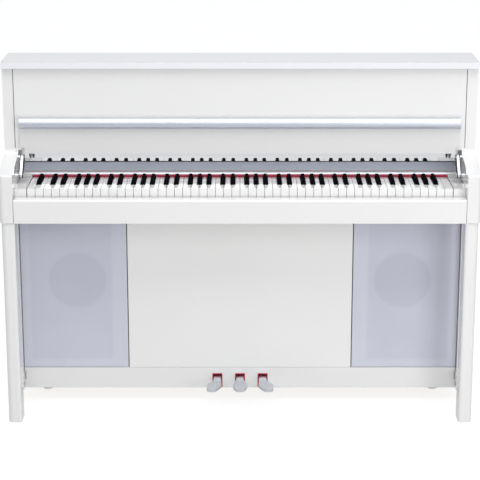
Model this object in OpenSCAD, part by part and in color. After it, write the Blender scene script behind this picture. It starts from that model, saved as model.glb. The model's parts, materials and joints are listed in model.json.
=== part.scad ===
// Compact upright digital piano on its own stand.
// Frame: +Z up, the player sits on the -Y side, X runs along the keyboard.
// The origin is on the floor, under the middle of the cabinet's box.

/* [Overall] */
// Width over the lid
overall_w = 1380; // [1340:1:1660]
// Depth from the front of the arms to the back panel
overall_d = 325; // [290:1:400]
// Height to the top of the lid
overall_h = 1050; // [980:1:1270]
// Height of the cabinet's underside above the floor
floor_gap = 43; // [36:1:52]

/* [Cabinet] */
// Lid thickness
lid_t = 18; // [14:1:24]
// Lid overhang past each side panel
lid_side_over = 2; // [0:1:8]
// Lid overhang past the cabinet front
lid_front_over = 16; // [4:1:24]
// Side panel thickness
side_t = 30.6; // [18:0.1:38]
// Upper front panel thickness
front_t = 18; // [12:1:24]
// Back panel thickness
back_t = 5; // [3:0.5:8]
// Visible gap between neighbouring boards
board_gap = 0.9; // [0.4:0.1:2]
// Bottom edge of the upper front panel
upper_panel_z = 790; // [784:1:815]
// Soffit board thickness
soffit_t = 8; // [5:1:12]

/* [Arms and legs] */
// How far the arms reach forward of the cabinet front
arm_reach = 160; // [150:1:195]
// Arm thickness
arm_t = 40; // [34:1:46]
// Arm top height where it meets the cabinet
arm_top_rear = 777; // [760:1:784]
// Arm top height at its front end
arm_top_front = 750; // [735:1:765]
// Radius of the arm's outer vertical edge
arm_edge_r = 16; // [6:1:19]
// Radius of the sweep from arm top to cabinet front
arm_sweep_r = 20; // [8:1:24]
// Thickness of the inner cheek wall
tongue_t = 9; // [5:0.5:12]
// Leg width
leg_w = 39; // [32:1:44]
// Leg depth
leg_d = 60; // [45:1:80]
// Step between the arm's outside and the leg
leg_inset = 3.5; // [1:0.5:6]
// Leg inner front edge radius
leg_inner_r = 8; // [3:1:12]
// Toe bar height
toe_h = 29; // [20:1:40]
// Toe bar underside
toe_z = 74; // [60:1:90]
// Toe bar thickness
toe_t = 31; // [20:1:36]

/* [Key well] */
// Keybed underside
keybed_z = 610; // [590:1:630]
// Keybed thickness
keybed_t = 18; // [15:1:25]
// Keyslip thickness, front to back
keyslip_t = 34; // [20:1:34]
// Height of the white key tops
key_top_z = 703; // [695:1:712]
// Keyslip top below the white key tops
keyslip_drop = 24; // [18:1:32]
// Sloping strip: height of its front edge above the white keys
strip_front_rise = 15; // [14:1:20]
// Sloping strip: height gained towards the back
strip_rise = 19; // [12:1:26]
// Sloping strip: depth
strip_d = 54; // [40:1:64]
// Sloping strip: sheet thickness
strip_t = 3; // [2:0.5:5]
// Free space at each end of the strip
strip_end_gap = 8; // [4:1:14]
// Mirror strip thickness
mirror_t = 3; // [2:0.5:5]

/* [Keys] */
// Distance from one white key to the next
key_pitch = 23.5; // [22:0.1:24]
// Gap between white keys
key_gap = 1.2; // [0.6:0.1:1.4]
// Visible length of a white key
key_len = 148; // [130:1:152]
// White key thickness at its front lip
key_lip_h = 25; // [20:1:28]
// White key body thickness
key_body_h = 20; // [14:1:22]
// Distance from the white key fronts to the black key fronts
black_start = 50; // [46:1:54]
// Black key height above the whites
black_rise = 12; // [10:0.5:12.5]
// Black key width at its foot
black_w = 13.7; // [11:0.1:14.2]
// Clearance between a black key and the white keys beside it
black_clear = 1; // [0.6:0.1:1.6]
// Key pivot, behind the visible end of the keys
pivot_back = 75.5; // [60:0.5:80]
// Radius of the rod that the keys turn on
rod_r = 2.5; // [2:0.1:3.5]
// Space between the last key and the cheek block
cheek_clear = 1.8; // [1:0.1:4]

/* [Fallboard] */
// Fallboard leaf thickness
leaf_t = 9.5; // [8:0.5:12]
// Lower edge of the open leaf
leaf_z = 782; // [781:1:786]
// Upper edge of the open leaf
leaf_top = 892; // [870:1:900]
// Space between the open leaf and the upper front panel
leaf_back_gap = 1.5; // [1:0.5:4]
// Space between the leaf's end and the arm
leaf_end_gap = 8; // [5:1:14]
// Radius of the rounded nose rail
nose_r = 17; // [12:1:18]
// Height of the pivot below the leaf's edge
leaf_pivot_drop = 12; // [11:1:14]
// Radius of the fallboard pivot pins
pin_r = 3; // [2:0.1:4]
// Width of the hinge brackets
bracket_w = 12; // [8:1:14]
// Rounded half-height of the hinge brackets
bracket_r = 8; // [6:1:9]
// Distance from the pivot to the bracket's screw, forward and down
bracket_leg = 44; // [30:1:50]

/* [Lower panels] */
// How far the lower panels stand behind the cabinet front
lower_setback = 24; // [10:1:32]
// Lower panel thickness
lower_t = 16; // [12:1:18]
// Width of the middle panel
centre_w = 676; // [560:1:760]
// Bottom rail height
rail_h = 65; // [50:1:78]
// Bottom rail thickness
rail_t = 18; // [14:1:20]
// Grille frame bar width
grille_bar = 26; // [16:1:36]
// Grille cloth and backing thickness
grille_skin = 3; // [2:0.5:5]

/* [Speakers] */
// Speaker centre, sideways
speaker_x = 487; // [470:1:510]
// Speaker centre height
speaker_z = 385; // [300:1:440]
// Speaker flange radius
speaker_r = 86; // [60:1:100]
// Baffle thickness
baffle_t = 12; // [9:1:18]

/* [Pedals] */
// Distance between pedals
pedal_pitch = 69; // [58:1:84]
// Pedal tip, forward of the bottom rail
pedal_reach = 117; // [95:1:140]
// Blade length beyond the neck
blade_len = 83; // [60:1:92]
// Widest blade width
blade_w = 43; // [34:1:48]
// Blade width at the tip
tip_w = 29; // [20:1:32]
// Sideways sweep of the outer pedals
blade_skew = 15; // [0:1:18]
// Neck width
neck_w = 21; // [14:0.5:22]
// Slot width in the rail
slot_w = 30; // [29:1:36]
// Slot top above the cabinet's underside
slot_h = 46; // [44:1:52]
// Felt thickness
felt_t = 2.7; // [1.5:0.1:3]
// Pedal thickness
pedal_t = 8; // [6:0.5:10]
// Pedal axle height
axle_z = 76; // [74:1:78]
// Pedal axle behind the bottom rail's front
axle_back = 60; // [50:1:75]
// Pedal axle radius
axle_r = 4; // [3:0.5:6]

/* [Fits and fasteners] */
// Radial running clearance of pins and rods
run_clear = 0.05; // [0.02:0.01:0.1]
// Wood screw shank radius
screw_r = 2; // [1.5:0.1:2.5]
// Wood screw head radius
screw_head_r = 4.5; // [3.5:0.1:5]
// Wood screw head height
screw_head_h = 2.2; // [1.5:0.1:3]
// Wood screw shank length
screw_len = 13; // [10:1:16]
// Bore radius of the 6.3 mm jack sockets
jack_r = 3.25; // [3.2:0.01:3.4]

/* [Hidden] */
$fn = 64;

// Planes of the cabinet
half_w = overall_w / 2 - lid_side_over;
front_y = -overall_d / 2;
back_y = overall_d / 2;
cab_y = front_y + arm_reach;
board_back_y = back_y - back_t;
cab_top = overall_h - lid_t;
side_in = half_w - side_t;
inside_w = side_in - board_gap;
arm_in = half_w - arm_t;
well_in = arm_in - 0.5;
keybed_top = keybed_z + keybed_t;

// Keys
white_count = 52;
keys_half = white_count * key_pitch / 2;
key_front_y = front_y + keyslip_t + 4.5;
key_felt_y = key_front_y + key_len;
key_end_y = key_felt_y + pivot_back + 8;
pivot_y = key_felt_y + pivot_back;
pivot_z = key_top_z - 11;
black_front_y = key_front_y + black_start;
black_top_z = key_top_z + black_rise;
lip_t = 5;
middle_first = 23;
middle_last = 29;
cheek_in = keys_half + cheek_clear;

// Strip behind the keys
strip_y = key_felt_y + 3.5;
strip_z = key_top_z + strip_front_rise;
strip_back_y = strip_y + strip_d;
strip_back_z = strip_z + strip_rise;
strip_half = arm_in - strip_end_gap;
strip_foot = key_top_z + 6;

// Fallboard
leaf_back_y = cab_y - leaf_back_gap;
leaf_front_y = leaf_back_y - leaf_t;
leaf_half = arm_in - leaf_end_gap;
leaf_pivot_y = leaf_back_y - 4;
leaf_pivot_z = leaf_z - leaf_pivot_drop;
bracket_in = leaf_half - 10;
bracket_out = bracket_in + bracket_w;
lug_out = bracket_in - 1.5;
lug_w = 12;
notch_h = 18;

// Lower cabinet
lower_y = cab_y + lower_setback;
rail_y = lower_y - 1.5;
rail_top = floor_gap + rail_h;
panel_z0 = rail_top + board_gap;
panel_z1 = keybed_z - board_gap;
board_t = 14;
board_y = rail_y + rail_t;
board_top = floor_gap + board_t;
centre_half = centre_w / 2;
baffle_y = lower_y + lower_t + 22;
grille_in = centre_half + board_gap;

// Pedals
axle_y = rail_y + axle_back;
tip_y = rail_y - pedal_reach;
neck_y = tip_y + blade_len;
blade_z = axle_z - pedal_t / 2;
frame_t = 3;
ear_t = 4;
ear_reach = 27.5;
pedal_travel = 6.5;

// Rear connections
plate_x0 = 372;
plate_x1 = 568;
plate_z0 = 112;
plate_z1 = 188;
plate_t = 4;
plate_zc = (plate_z0 + plate_z1) / 2;
switch_x = 462;
rocker_y = board_back_y - 5.5;
rocker_tilt = 8;
inlet_x = 405;
line_out_x = [510, 540];
headphone_x = [-595, -565];
headphone_y = front_y + 84;
headphone_d = 60;
headphone_h = 20;
headphone_zc = keybed_z - headphone_h / 2;

function letter(w) = (w + 5) % 7;
function has_black(w) = w >= 0 && w < white_count - 1 && letter(w) != 2 && letter(w) != 6;
function key_x(w) = -keys_half + key_pitch * w;
function black_shift(w) = lookup(letter(w), [[0, -2.8], [1, 2.8], [3, -3.8], [4, 0], [5, 3.8]]);
function black_x(w) = key_x(w + 1) + black_shift(w);
function arc(cx, cy, r, a0, a1, n = 8) =
    [for (i = [0 : n]) let (a = a0 + (a1 - a0) * i / n) [cx + r * cos(a), cy + r * sin(a)]];

// A box from its two corners
module board(x, y, z) {
    translate([x[0], y[0], z[0]])
        cube([x[1] - x[0], y[1] - y[0], z[1] - z[0]]);
}

// A side-view outline, drawn as (Y, Z), extruded from x0 to x1
module side_view(x0, x1) {
    translate([x0, 0, 0])
        rotate([90, 0, 90])
            linear_extrude(x1 - x0)
                children();
}

module rod_x(r, x0, x1, y, z) {
    translate([x0, y, z])
        rotate([0, 90, 0])
            cylinder(r = r, h = x1 - x0);
}

module rod_y(r, y0, y1, x, z) {
    translate([x, y0, z])
        rotate([-90, 0, 0])
            cylinder(r = r, h = y1 - y0);
}

module both_sides() {
    children();
    mirror([1, 0, 0]) children();
}

// ---- fasteners ----

// One wood screw, the underside of its head at the origin and its shank along +Z
module screw(length = screw_len) {
    translate([0, 0, -screw_head_h])
        cylinder(r = screw_head_r, h = screw_head_h);
    cylinder(r = screw_r, h = length);
}

module bracket_screws() {
    both_sides()
        translate([bracket_in, leaf_pivot_y - bracket_leg, leaf_pivot_z - bracket_leg])
            rotate([0, 90, 0]) screw(arm_in - bracket_in + screw_len);
}

module speaker_screws() {
    both_sides()
        for (a = [45 : 90 : 315])
            translate([speaker_x, baffle_y - 4, speaker_z])
                rotate([-90, a, 0])
                    translate([speaker_r - 5, 0, 0]) screw();
}

module back_screws() {
    span = cab_top - floor_gap;
    both_sides()
        for (i = [0 : 4])
            translate([half_w - side_t / 2, back_y - screw_head_h, floor_gap + span * (i + 0.5) / 5])
                rotate([90, 0, 0]) screw();
}

module frame_screws() {
    for (x = [-pedal_pitch, pedal_pitch], y = [axle_y - 4, axle_y + 24])
        translate([x + sign(x) * 21, y, board_top + frame_t])
            rotate([180, 0, 0]) screw();
}

module wood_screws() {
    color("silver") {
        bracket_screws();
        speaker_screws();
        back_screws();
        frame_screws();
    }
}

// ---- cabinet ----

module lid() {
    color("white")
        board([-overall_w / 2, overall_w / 2], [cab_y - lid_front_over, back_y], [cab_top, overall_h]);
}

module side_panel() {
    difference() {
        board([side_in, half_w], [cab_y, board_back_y], [floor_gap, cab_top]);
        back_screws();
    }
}

module side_panel_right() {
    color("white") side_panel();
}

module side_panel_left() {
    color("white") mirror([1, 0, 0]) side_panel();
}

module upper_front_panel() {
    color("white")
        board([-inside_w, inside_w], [cab_y, cab_y + front_t], [upper_panel_z, cab_top]);
}

module soffit() {
    color("gainsboro")
        board([-inside_w, inside_w], [cab_y + front_t, strip_back_y + mirror_t],
              [upper_panel_z, upper_panel_z + soffit_t]);
}

module back_panel() {
    color("gray")
        difference() {
            board([-half_w + 2, half_w - 2], [board_back_y, back_y], [floor_gap, cab_top]);
            board([plate_x0 + 8, plate_x1 - 8], [board_back_y - 1, back_y + 1],
                  [plate_z0 + 8, plate_z1 - 8]);
            back_screws();
        }
}

module bottom_board() {
    color("gainsboro")
        difference() {
            board([-inside_w, inside_w], [board_y, board_back_y], [floor_gap, board_top]);
            frame_screws();
        }
}

module rear_feet() {
    color("dimgray")
        both_sides()
            translate([inside_w - 56, board_back_y - 20, 0])
                cylinder(r = 18, h = floor_gap);
}

// ---- arms, legs and toe bars ----

module arm_outline() {
    r = 6;
    polygon(concat(
        [[cab_y, keybed_z], [front_y, keybed_z]],
        arc(front_y + r, arm_top_front - r, r, 180, 100),
        arc(cab_y - arm_sweep_r, arm_top_rear + arm_sweep_r, arm_sweep_r, -80, 0)
    ));
}

module arm_plan() {
    polygon(concat(
        [[arm_in, cab_y], [arm_in, front_y]],
        arc(half_w - arm_edge_r, front_y + arm_edge_r, arm_edge_r, -90, 0),
        [[half_w, cab_y]]
    ));
}

module arm() {
    difference() {
        union() {
            intersection() {
                side_view(arm_in, half_w) arm_outline();
                translate([0, 0, keybed_z])
                    linear_extrude(arm_top_rear + arm_sweep_r - keybed_z) arm_plan();
            }
            board([arm_in, arm_in + tongue_t], [cab_y - 4, strip_back_y + mirror_t + 4],
                  [keybed_z, upper_panel_z - 2]);
        }
        bracket_screws();
    }
}

module arm_right() {
    color("white") arm();
}

module arm_left() {
    color("white") mirror([1, 0, 0]) arm();
}

module leg() {
    x1 = half_w - leg_inset;
    x0 = x1 - leg_w;
    y0 = front_y + leg_inset;
    linear_extrude(keybed_z)
        polygon(concat(
            [[x0, y0 + leg_d]],
            arc(x0 + leg_inner_r, y0 + leg_inner_r, leg_inner_r, 180, 270),
            arc(x1 - arm_edge_r, y0 + arm_edge_r, arm_edge_r, -90, 0),
            [[x1, y0 + leg_d]]
        ));
}

module leg_right() {
    color("white") leg();
}

module leg_left() {
    color("white") mirror([1, 0, 0]) leg();
}

module toe_bars() {
    x1 = half_w - leg_inset;
    color("white")
        both_sides()
            board([x1 - toe_t, x1], [front_y + leg_inset + leg_d, cab_y], [toe_z, toe_z + toe_h]);
}

// ---- key well ----

module keybed() {
    color("gainsboro")
        board([-well_in, well_in], [front_y + keyslip_t, strip_back_y + 34], [keybed_z, keybed_top]);
}

module keyslip() {
    top = key_top_z - keyslip_drop;
    r = 6;
    color("white")
        side_view(-well_in, well_in)
            polygon(concat(
                [[front_y + keyslip_t, keybed_z], [front_y, keybed_z]],
                arc(front_y + r, top - r, r, 180, 90),
                [[front_y + keyslip_t, top]]
            ));
}

module cheek_blocks() {
    color("white")
        difference() {
            both_sides()
                side_view(cheek_in, well_in)
                    polygon([
                        [key_front_y, keybed_top], [key_front_y, key_top_z],
                        [key_felt_y - 3, key_top_z], [key_felt_y - 3, strip_foot],
                        [strip_y + 8, strip_foot], [strip_y + 8, key_top_z],
                        [key_end_y + 4, key_top_z], [key_end_y + 4, keybed_top]
                    ]);
            rod_x(rod_r, -cheek_in - 18, cheek_in + 18, pivot_y, pivot_z);
        }
}

module control_strip() {
    color("lightsteelblue")
        side_view(-strip_half, strip_half)
            polygon([
                [strip_y, strip_foot], [strip_y, strip_z - 1.5], [strip_y + 1.5, strip_z],
                [strip_back_y, strip_back_z], [strip_back_y, strip_back_z - strip_t],
                [strip_y + strip_t, strip_z - strip_t], [strip_y + strip_t, strip_foot]
            ]);
}

module mirror_strip() {
    color("silver")
        board([-strip_half, strip_half], [strip_back_y, strip_back_y + mirror_t],
              [strip_back_z - strip_t, upper_panel_z]);
}

module key_felt() {
    color("crimson")
        board([-keys_half, keys_half], [key_felt_y - 3, strip_y], [key_top_z + 1.2, strip_foot]);
}

// ---- keys ----

module key_chassis() {
    y0 = key_front_y + 14;
    y1 = key_end_y + 2;
    color("dimgray")
        side_view(-keys_half, keys_half)
            polygon([
                [y0, keybed_top], [y0, key_top_z - 32], [y0 + 18, key_top_z - 32],
                [y0 + 18, keybed_top + 4], [pivot_y - 108, keybed_top + 4],
                [pivot_y - 108, key_top_z - 26], [pivot_y - 90, key_top_z - 26],
                [pivot_y - 90, keybed_top + 4], [y1, keybed_top + 4], [y1, keybed_top]
            ]);
}

module key_rod() {
    color("silver")
        rod_x(rod_r, -cheek_in - 18, cheek_in + 18, pivot_y, pivot_z);
}

module white_key_side() {
    polygon([
        [key_front_y, key_top_z - key_lip_h], [key_front_y, key_top_z],
        [key_end_y, key_top_z], [key_end_y, key_top_z - key_body_h],
        [key_front_y + lip_t, key_top_z - key_body_h],
        [key_front_y + lip_t, key_top_z - key_lip_h]
    ]);
}

// White key number w, counted from the bass end, cut back beside its black keys
module white_key(w) {
    x0 = key_x(w) + key_gap / 2;
    x1 = key_x(w + 1) - key_gap / 2;
    half_cut = black_w / 2 + black_clear;
    left = has_black(w - 1) ? max(x0, black_x(w - 1) + half_cut) : x0;
    right = has_black(w) ? min(x1, black_x(w) - half_cut) : x1;
    cut_y = black_front_y - black_clear;
    difference() {
        intersection() {
            side_view(x0 - 1, x1 + 1) white_key_side();
            translate([0, 0, key_top_z - key_lip_h - 1])
                linear_extrude(key_lip_h + 2)
                    polygon([
                        [x0, key_front_y - 1], [x1, key_front_y - 1], [x1, cut_y],
                        [right, cut_y], [right, key_end_y + 1], [left, key_end_y + 1],
                        [left, cut_y], [x0, cut_y]
                    ]);
        }
        rod_x(rod_r + run_clear, x0 - 2, x1 + 2, pivot_y, pivot_z);
    }
}

// The black key to the right of white key number w
module black_key(w) {
    x = black_x(w);
    foot_z = key_top_z - 1;
    half = black_w / 2;
    top_half = half - 1.9;
    union() {
        intersection() {
            side_view(x - half - 1, x + half + 1)
                polygon([
                    [black_front_y, foot_z], [black_front_y + 1, foot_z + 4],
                    [black_front_y + 5.5, black_top_z - 1], [black_front_y + 8, black_top_z],
                    [key_felt_y - 4, black_top_z], [key_felt_y - 4, foot_z]
                ]);
            translate([x, key_felt_y, 0])
                rotate([90, 0, 0])
                    linear_extrude(key_len)
                        polygon([
                            [-half, foot_z], [half, foot_z], [top_half + 0.6, black_top_z - 1.4],
                            [top_half - 0.6, black_top_z], [-top_half + 0.6, black_top_z],
                            [-top_half - 0.6, black_top_z - 1.4]
                        ]);
        }
        difference() {
            board([x - half + 0.6, x + half - 0.6], [black_front_y + 2, key_end_y],
                  [key_top_z - key_body_h, foot_z]);
            rod_x(rod_r + run_clear, x - half - 1, x + half + 1, pivot_y, pivot_z);
        }
    }
}

module white_keys(first, last) {
    color("ivory")
        for (w = [first : last])
            white_key(w);
}

module black_keys(first, last) {
    color("black")
        for (w = [first : last])
            if (has_black(w)) black_key(w);
}

module white_keys_bass() { white_keys(0, middle_first - 1); }
module white_keys_treble() { white_keys(middle_last + 1, white_count - 1); }
module black_keys_bass() { black_keys(0, middle_first - 1); }
module black_keys_treble() { black_keys(middle_last + 1, white_count - 2); }
module key_c4() { white_keys(middle_first, middle_first); }
module key_d4() { white_keys(middle_first + 1, middle_first + 1); }
module key_e4() { white_keys(middle_first + 2, middle_first + 2); }
module key_f4() { white_keys(middle_first + 3, middle_first + 3); }
module key_g4() { white_keys(middle_first + 4, middle_first + 4); }
module key_a4() { white_keys(middle_first + 5, middle_first + 5); }
module key_b4() { white_keys(middle_last, middle_last); }
module key_c4_sharp() { black_keys(middle_first, middle_first); }
module key_d4_sharp() { black_keys(middle_first + 1, middle_first + 1); }
module key_f4_sharp() { black_keys(middle_first + 3, middle_first + 3); }
module key_g4_sharp() { black_keys(middle_first + 4, middle_first + 4); }
module key_a4_sharp() { black_keys(middle_first + 5, middle_first + 5); }

// ---- fallboard ----

module fallboard_leaf() {
    color("white")
        difference() {
            union() {
                board([-leaf_half, leaf_half], [leaf_front_y, leaf_back_y], [leaf_z, leaf_top]);
                both_sides() {
                    board([lug_out - lug_w, lug_out], [leaf_front_y, leaf_back_y],
                          [leaf_pivot_z, leaf_z + 1]);
                    rod_x(leaf_t / 2 + 1.2, lug_out - lug_w, lug_out, leaf_pivot_y, leaf_pivot_z);
                }
            }
            both_sides() {
                board([lug_out, leaf_half + 1], [leaf_front_y - 1, leaf_back_y + 1],
                      [leaf_z - 1, leaf_z + notch_h]);
                rod_x(pin_r + run_clear, lug_out - lug_w - 1, lug_out + 1, leaf_pivot_y, leaf_pivot_z);
            }
        }
}

// D-shaped rail: half round in front, flat where it meets the leaf
module fallboard_rail() {
    zc = leaf_top - 2 - nose_r;
    yc = leaf_front_y - 4;
    color("silver")
        union() {
            board([-leaf_half, leaf_half], [yc, leaf_front_y], [zc - nose_r, zc + nose_r]);
            intersection() {
                rod_x(nose_r, -leaf_half, leaf_half, yc, zc);
                board([-leaf_half, leaf_half], [yc - nose_r - 1, yc + 1],
                      [zc - nose_r - 1, zc + nose_r + 1]);
            }
        }
}

// Slanted bar with round ends, drawn as (Y, Z)
module bracket_outline() {
    foot_y = leaf_pivot_y - bracket_leg;
    foot_z = leaf_pivot_z - bracket_leg;
    polygon(concat(
        arc(leaf_pivot_y, leaf_pivot_z, bracket_r, -45, 135, 12),
        arc(foot_y, foot_z, bracket_r, 135, 315, 12)
    ));
}

module fallboard_brackets() {
    boss_r = bracket_r - 1.5;
    color("silver")
        difference() {
            both_sides() {
                side_view(bracket_in, bracket_out) bracket_outline();
                for (d = [0, bracket_leg])
                    rod_x(boss_r, bracket_out - 1, arm_in, leaf_pivot_y - d, leaf_pivot_z - d);
            }
            bracket_screws();
            both_sides()
                rod_x(pin_r, bracket_in - 1, bracket_out + 2, leaf_pivot_y, leaf_pivot_z);
        }
}

module fallboard_pins() {
    color("gray")
        both_sides()
            rod_x(pin_r, lug_out - lug_w - 1, bracket_out + 2, leaf_pivot_y, leaf_pivot_z);
}

// ---- lower panels and speakers ----

module lower_centre_panel() {
    color("white")
        board([-centre_half, centre_half], [lower_y, lower_y + lower_t], [panel_z0, panel_z1]);
}

module grille() {
    color("lightsteelblue")
        difference() {
            board([grille_in, inside_w], [lower_y, lower_y + lower_t], [panel_z0, panel_z1]);
            board([grille_in + grille_bar, inside_w - grille_bar],
                  [lower_y + grille_skin, lower_y + lower_t + 1],
                  [panel_z0 + grille_bar, panel_z1 - grille_bar]);
        }
}

module grille_right() { grille(); }
module grille_left() { mirror([1, 0, 0]) grille(); }

module speaker_baffles() {
    color("burlywood")
        difference() {
            both_sides()
                board([grille_in + 6, inside_w - 4], [baffle_y, baffle_y + baffle_t],
                      [board_top, panel_z1]);
            both_sides()
                rod_y(speaker_r - 12, baffle_y - 1, baffle_y + baffle_t + 1, speaker_x, speaker_z);
            speaker_screws();
        }
}

// Basket, cone, surround and magnet of one loudspeaker, turned about its axis
module speaker() {
    r = speaker_r;
    translate([speaker_x, baffle_y - 4, speaker_z])
        rotate([-90, 0, 0])
            rotate_extrude($fn = 96)
                polygon([
                    [0, 16], [r * 0.24, 14], [r * 0.3, 26], [r * 0.74, 5], [r * 0.79, 0], [r, 0],
                    [r, 4], [r - 13, 4], [r - 14, 12], [r * 0.5, 44], [r * 0.5, 62], [0, 62]
                ]);
}

module speakers() {
    color("dimgray")
        difference() {
            both_sides() speaker();
            speaker_screws();
        }
}

module bottom_rail() {
    color("white")
        difference() {
            board([-inside_w, inside_w], [rail_y, rail_y + rail_t], [floor_gap, rail_top]);
            for (i = [-1 : 1])
                board([i * pedal_pitch - slot_w / 2, i * pedal_pitch + slot_w / 2],
                      [rail_y - 1, rail_y + rail_t + 1], [floor_gap - 1, floor_gap + slot_h]);
            both_sides()
                board([inside_w - 5, inside_w + 1], [rail_y - 1, rail_y + 8],
                      [floor_gap + 27, floor_gap + 51]);
        }
}

module pedal_felts() {
    color("crimson")
        for (i = [-1 : 1])
            translate([i * pedal_pitch, 0, 0])
                difference() {
                    board([-slot_w / 2, slot_w / 2], [rail_y - 0.6, rail_y + rail_t],
                          [floor_gap + 1, floor_gap + slot_h]);
                    board([-slot_w / 2 + felt_t, slot_w / 2 - felt_t],
                          [rail_y - 2, rail_y + rail_t + 1], [floor_gap, floor_gap + slot_h - felt_t]);
                }
}

// ---- pedals ----

// Blade outline in plan, skewed sideways by skew at its tip
module blade_plan(skew) {
    wide_y = tip_y + 34;
    mid = skew * 0.62;
    polygon([
        [-neck_w / 2, neck_y + 6], [mid - blade_w / 2, wide_y + 12], [mid - blade_w / 2, wide_y - 2],
        [skew - tip_w / 2, tip_y + 5], [skew - tip_w / 2 + 5, tip_y], [skew + tip_w / 2 - 5, tip_y],
        [skew + tip_w / 2, tip_y + 5], [mid + blade_w / 2, wide_y - 2], [mid + blade_w / 2, wide_y + 12],
        [neck_w / 2, neck_y + 6]
    ]);
}

module pedal(i) {
    color("silver")
        translate([i * pedal_pitch, 0, 0])
            difference() {
                union() {
                    translate([0, 0, blade_z])
                        linear_extrude(pedal_t) blade_plan(i * blade_skew);
                    board([-neck_w / 2, neck_w / 2], [neck_y + 5.9, axle_y],
                          [blade_z, blade_z + pedal_t + 2.5]);
                    rod_x(axle_r + 5, -neck_w / 2, neck_w / 2, axle_y, axle_z);
                }
                rod_x(axle_r + run_clear, -neck_w, neck_w, axle_y, axle_z);
            }
}

module pedal_soft() { pedal(-1); }
module pedal_sostenuto() { pedal(0); }
module pedal_damper() { pedal(1); }

module pedal_axle() {
    color("gray")
        rod_x(axle_r, -pedal_pitch - ear_reach - 2, pedal_pitch + ear_reach + 2, axle_y, axle_z);
}

module pedal_frame() {
    reach = pedal_pitch + ear_reach;
    color("gray")
        difference() {
            union() {
                board([-reach, reach], [axle_y - 24, axle_y + 36], [board_top, board_top + frame_t]);
                for (x = [-reach, -pedal_pitch / 2 - ear_t / 2, pedal_pitch / 2 - ear_t / 2, reach - ear_t])
                    board([x, x + ear_t], [axle_y - 11, axle_y + 11], [board_top, axle_z + 11]);
            }
            rod_x(axle_r, -reach - 3, reach + 3, axle_y, axle_z);
            frame_screws();
        }
}

module pedal_stops() {
    base = board_top + frame_t;
    reach = 22;
    top = blade_z - reach * sin(pedal_travel) - 0.6;
    color("black")
        for (i = [-1 : 1])
            board([i * pedal_pitch - 8, i * pedal_pitch + 8], [axle_y - reach, axle_y - reach + 8],
                  [base, top]);
}

// ---- electrics ----

module rocker_outline() {
    polygon([[-4, -9], [5, -9], [7.4, -8], [5.2, 0], [7.4, 8], [5, 9], [-4, 9]]);
}

module connector_plate() {
    y0 = board_back_y - plate_t;
    color("dimgray")
        difference() {
            union() {
                board([plate_x0, plate_x1], [y0, board_back_y], [plate_z0, plate_z1]);
                board([inlet_x - 18, inlet_x + 18], [y0 - 24, board_back_y],
                      [plate_zc - 14, plate_zc + 14]);
                board([switch_x - 14, switch_x + 14], [y0 - 12, board_back_y],
                      [plate_zc - 16, plate_zc + 16]);
                for (x = line_out_x)
                    rod_y(8, y0 - 20, board_back_y, x, plate_zc);
            }
            board([inlet_x - 12, inlet_x + 12], [y0 - 16, board_back_y + 1],
                  [plate_zc - 8, plate_zc + 8]);
            board([switch_x - 10, switch_x + 10], [y0 - 8, board_back_y + 1],
                  [plate_zc - 12, plate_zc + 12]);
            rod_x(1.5 + run_clear, switch_x - 13, switch_x + 13, rocker_y, plate_zc);
            for (x = line_out_x)
                rod_y(jack_r, y0 - 16, board_back_y + 1, x, plate_zc);
        }
}

module power_switch() {
    color("black") {
        translate([0, rocker_y, plate_zc])
            rotate([-rocker_tilt, 0, 0])
                side_view(switch_x - 9.5, switch_x + 9.5) rocker_outline();
        rod_x(1.5, switch_x - 12.5, switch_x + 12.5, rocker_y, plate_zc);
    }
}

module main_board() {
    y1 = board_back_y;
    y0 = y1 - 12;
    color("darkgreen") {
        board([-210, 70], [y0, y0 + 1.6], [850, 990]);
        for (x = [-200, 60], z = [860, 980])
            rod_y(3.5, y0 + 1.5, y1, x, z);
        board([-160, -120], [y0 - 3, y0 + 0.1], [900, 940]);
        board([-80, -50], [y0 - 3, y0 + 0.1], [880, 910]);
        board([10, 50], [y0 - 14, y0 + 0.1], [890, 900]);
        board([-20, 50], [y0 - 20, y0 + 0.1], [930, 965]);
    }
}

module power_supply() {
    color("gray") {
        board([180, 320], [board_back_y - 70, board_back_y - 8], [board_top, board_top + 52]);
        for (x = [172, 320])
            board([x, x + 8], [board_back_y - 60, board_back_y - 18], [board_top, board_top + 3]);
    }
}

module headphone_box() {
    color("dimgray")
        difference() {
            board([headphone_x[0] - 15, headphone_x[1] + 15],
                  [headphone_y, headphone_y + headphone_d], [keybed_z - headphone_h, keybed_z]);
            for (x = headphone_x)
                rod_y(jack_r, headphone_y - 1, headphone_y + 32, x, headphone_zc);
        }
}

lid();
side_panel_left();
side_panel_right();
upper_front_panel();
back_panel();
soffit();
bottom_board();
keybed();
keyslip();
arm_left();
arm_right();
leg_left();
leg_right();
toe_bars();
cheek_blocks();
control_strip();
mirror_strip();
key_felt();
fallboard_leaf();
fallboard_rail();
fallboard_brackets();
fallboard_pins();
wood_screws();
key_chassis();
key_rod();
key_c4();
key_d4();
key_e4();
key_f4();
key_g4();
key_a4();
key_b4();
key_c4_sharp();
key_d4_sharp();
key_f4_sharp();
key_g4_sharp();
key_a4_sharp();
white_keys_bass();
white_keys_treble();
black_keys_bass();
black_keys_treble();
lower_centre_panel();
grille_left();
grille_right();
speaker_baffles();
speakers();
bottom_rail();
pedal_felts();
pedal_soft();
pedal_sostenuto();
pedal_damper();
pedal_axle();
pedal_frame();
pedal_stops();
rear_feet();
connector_plate();
power_switch();
main_board();
power_supply();
headphone_box();
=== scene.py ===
"""Looks of a compact white digital piano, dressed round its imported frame."""

import json
import logging
import math
from collections.abc import Iterable, Sequence
from dataclasses import dataclass, field
from enum import Enum

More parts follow.
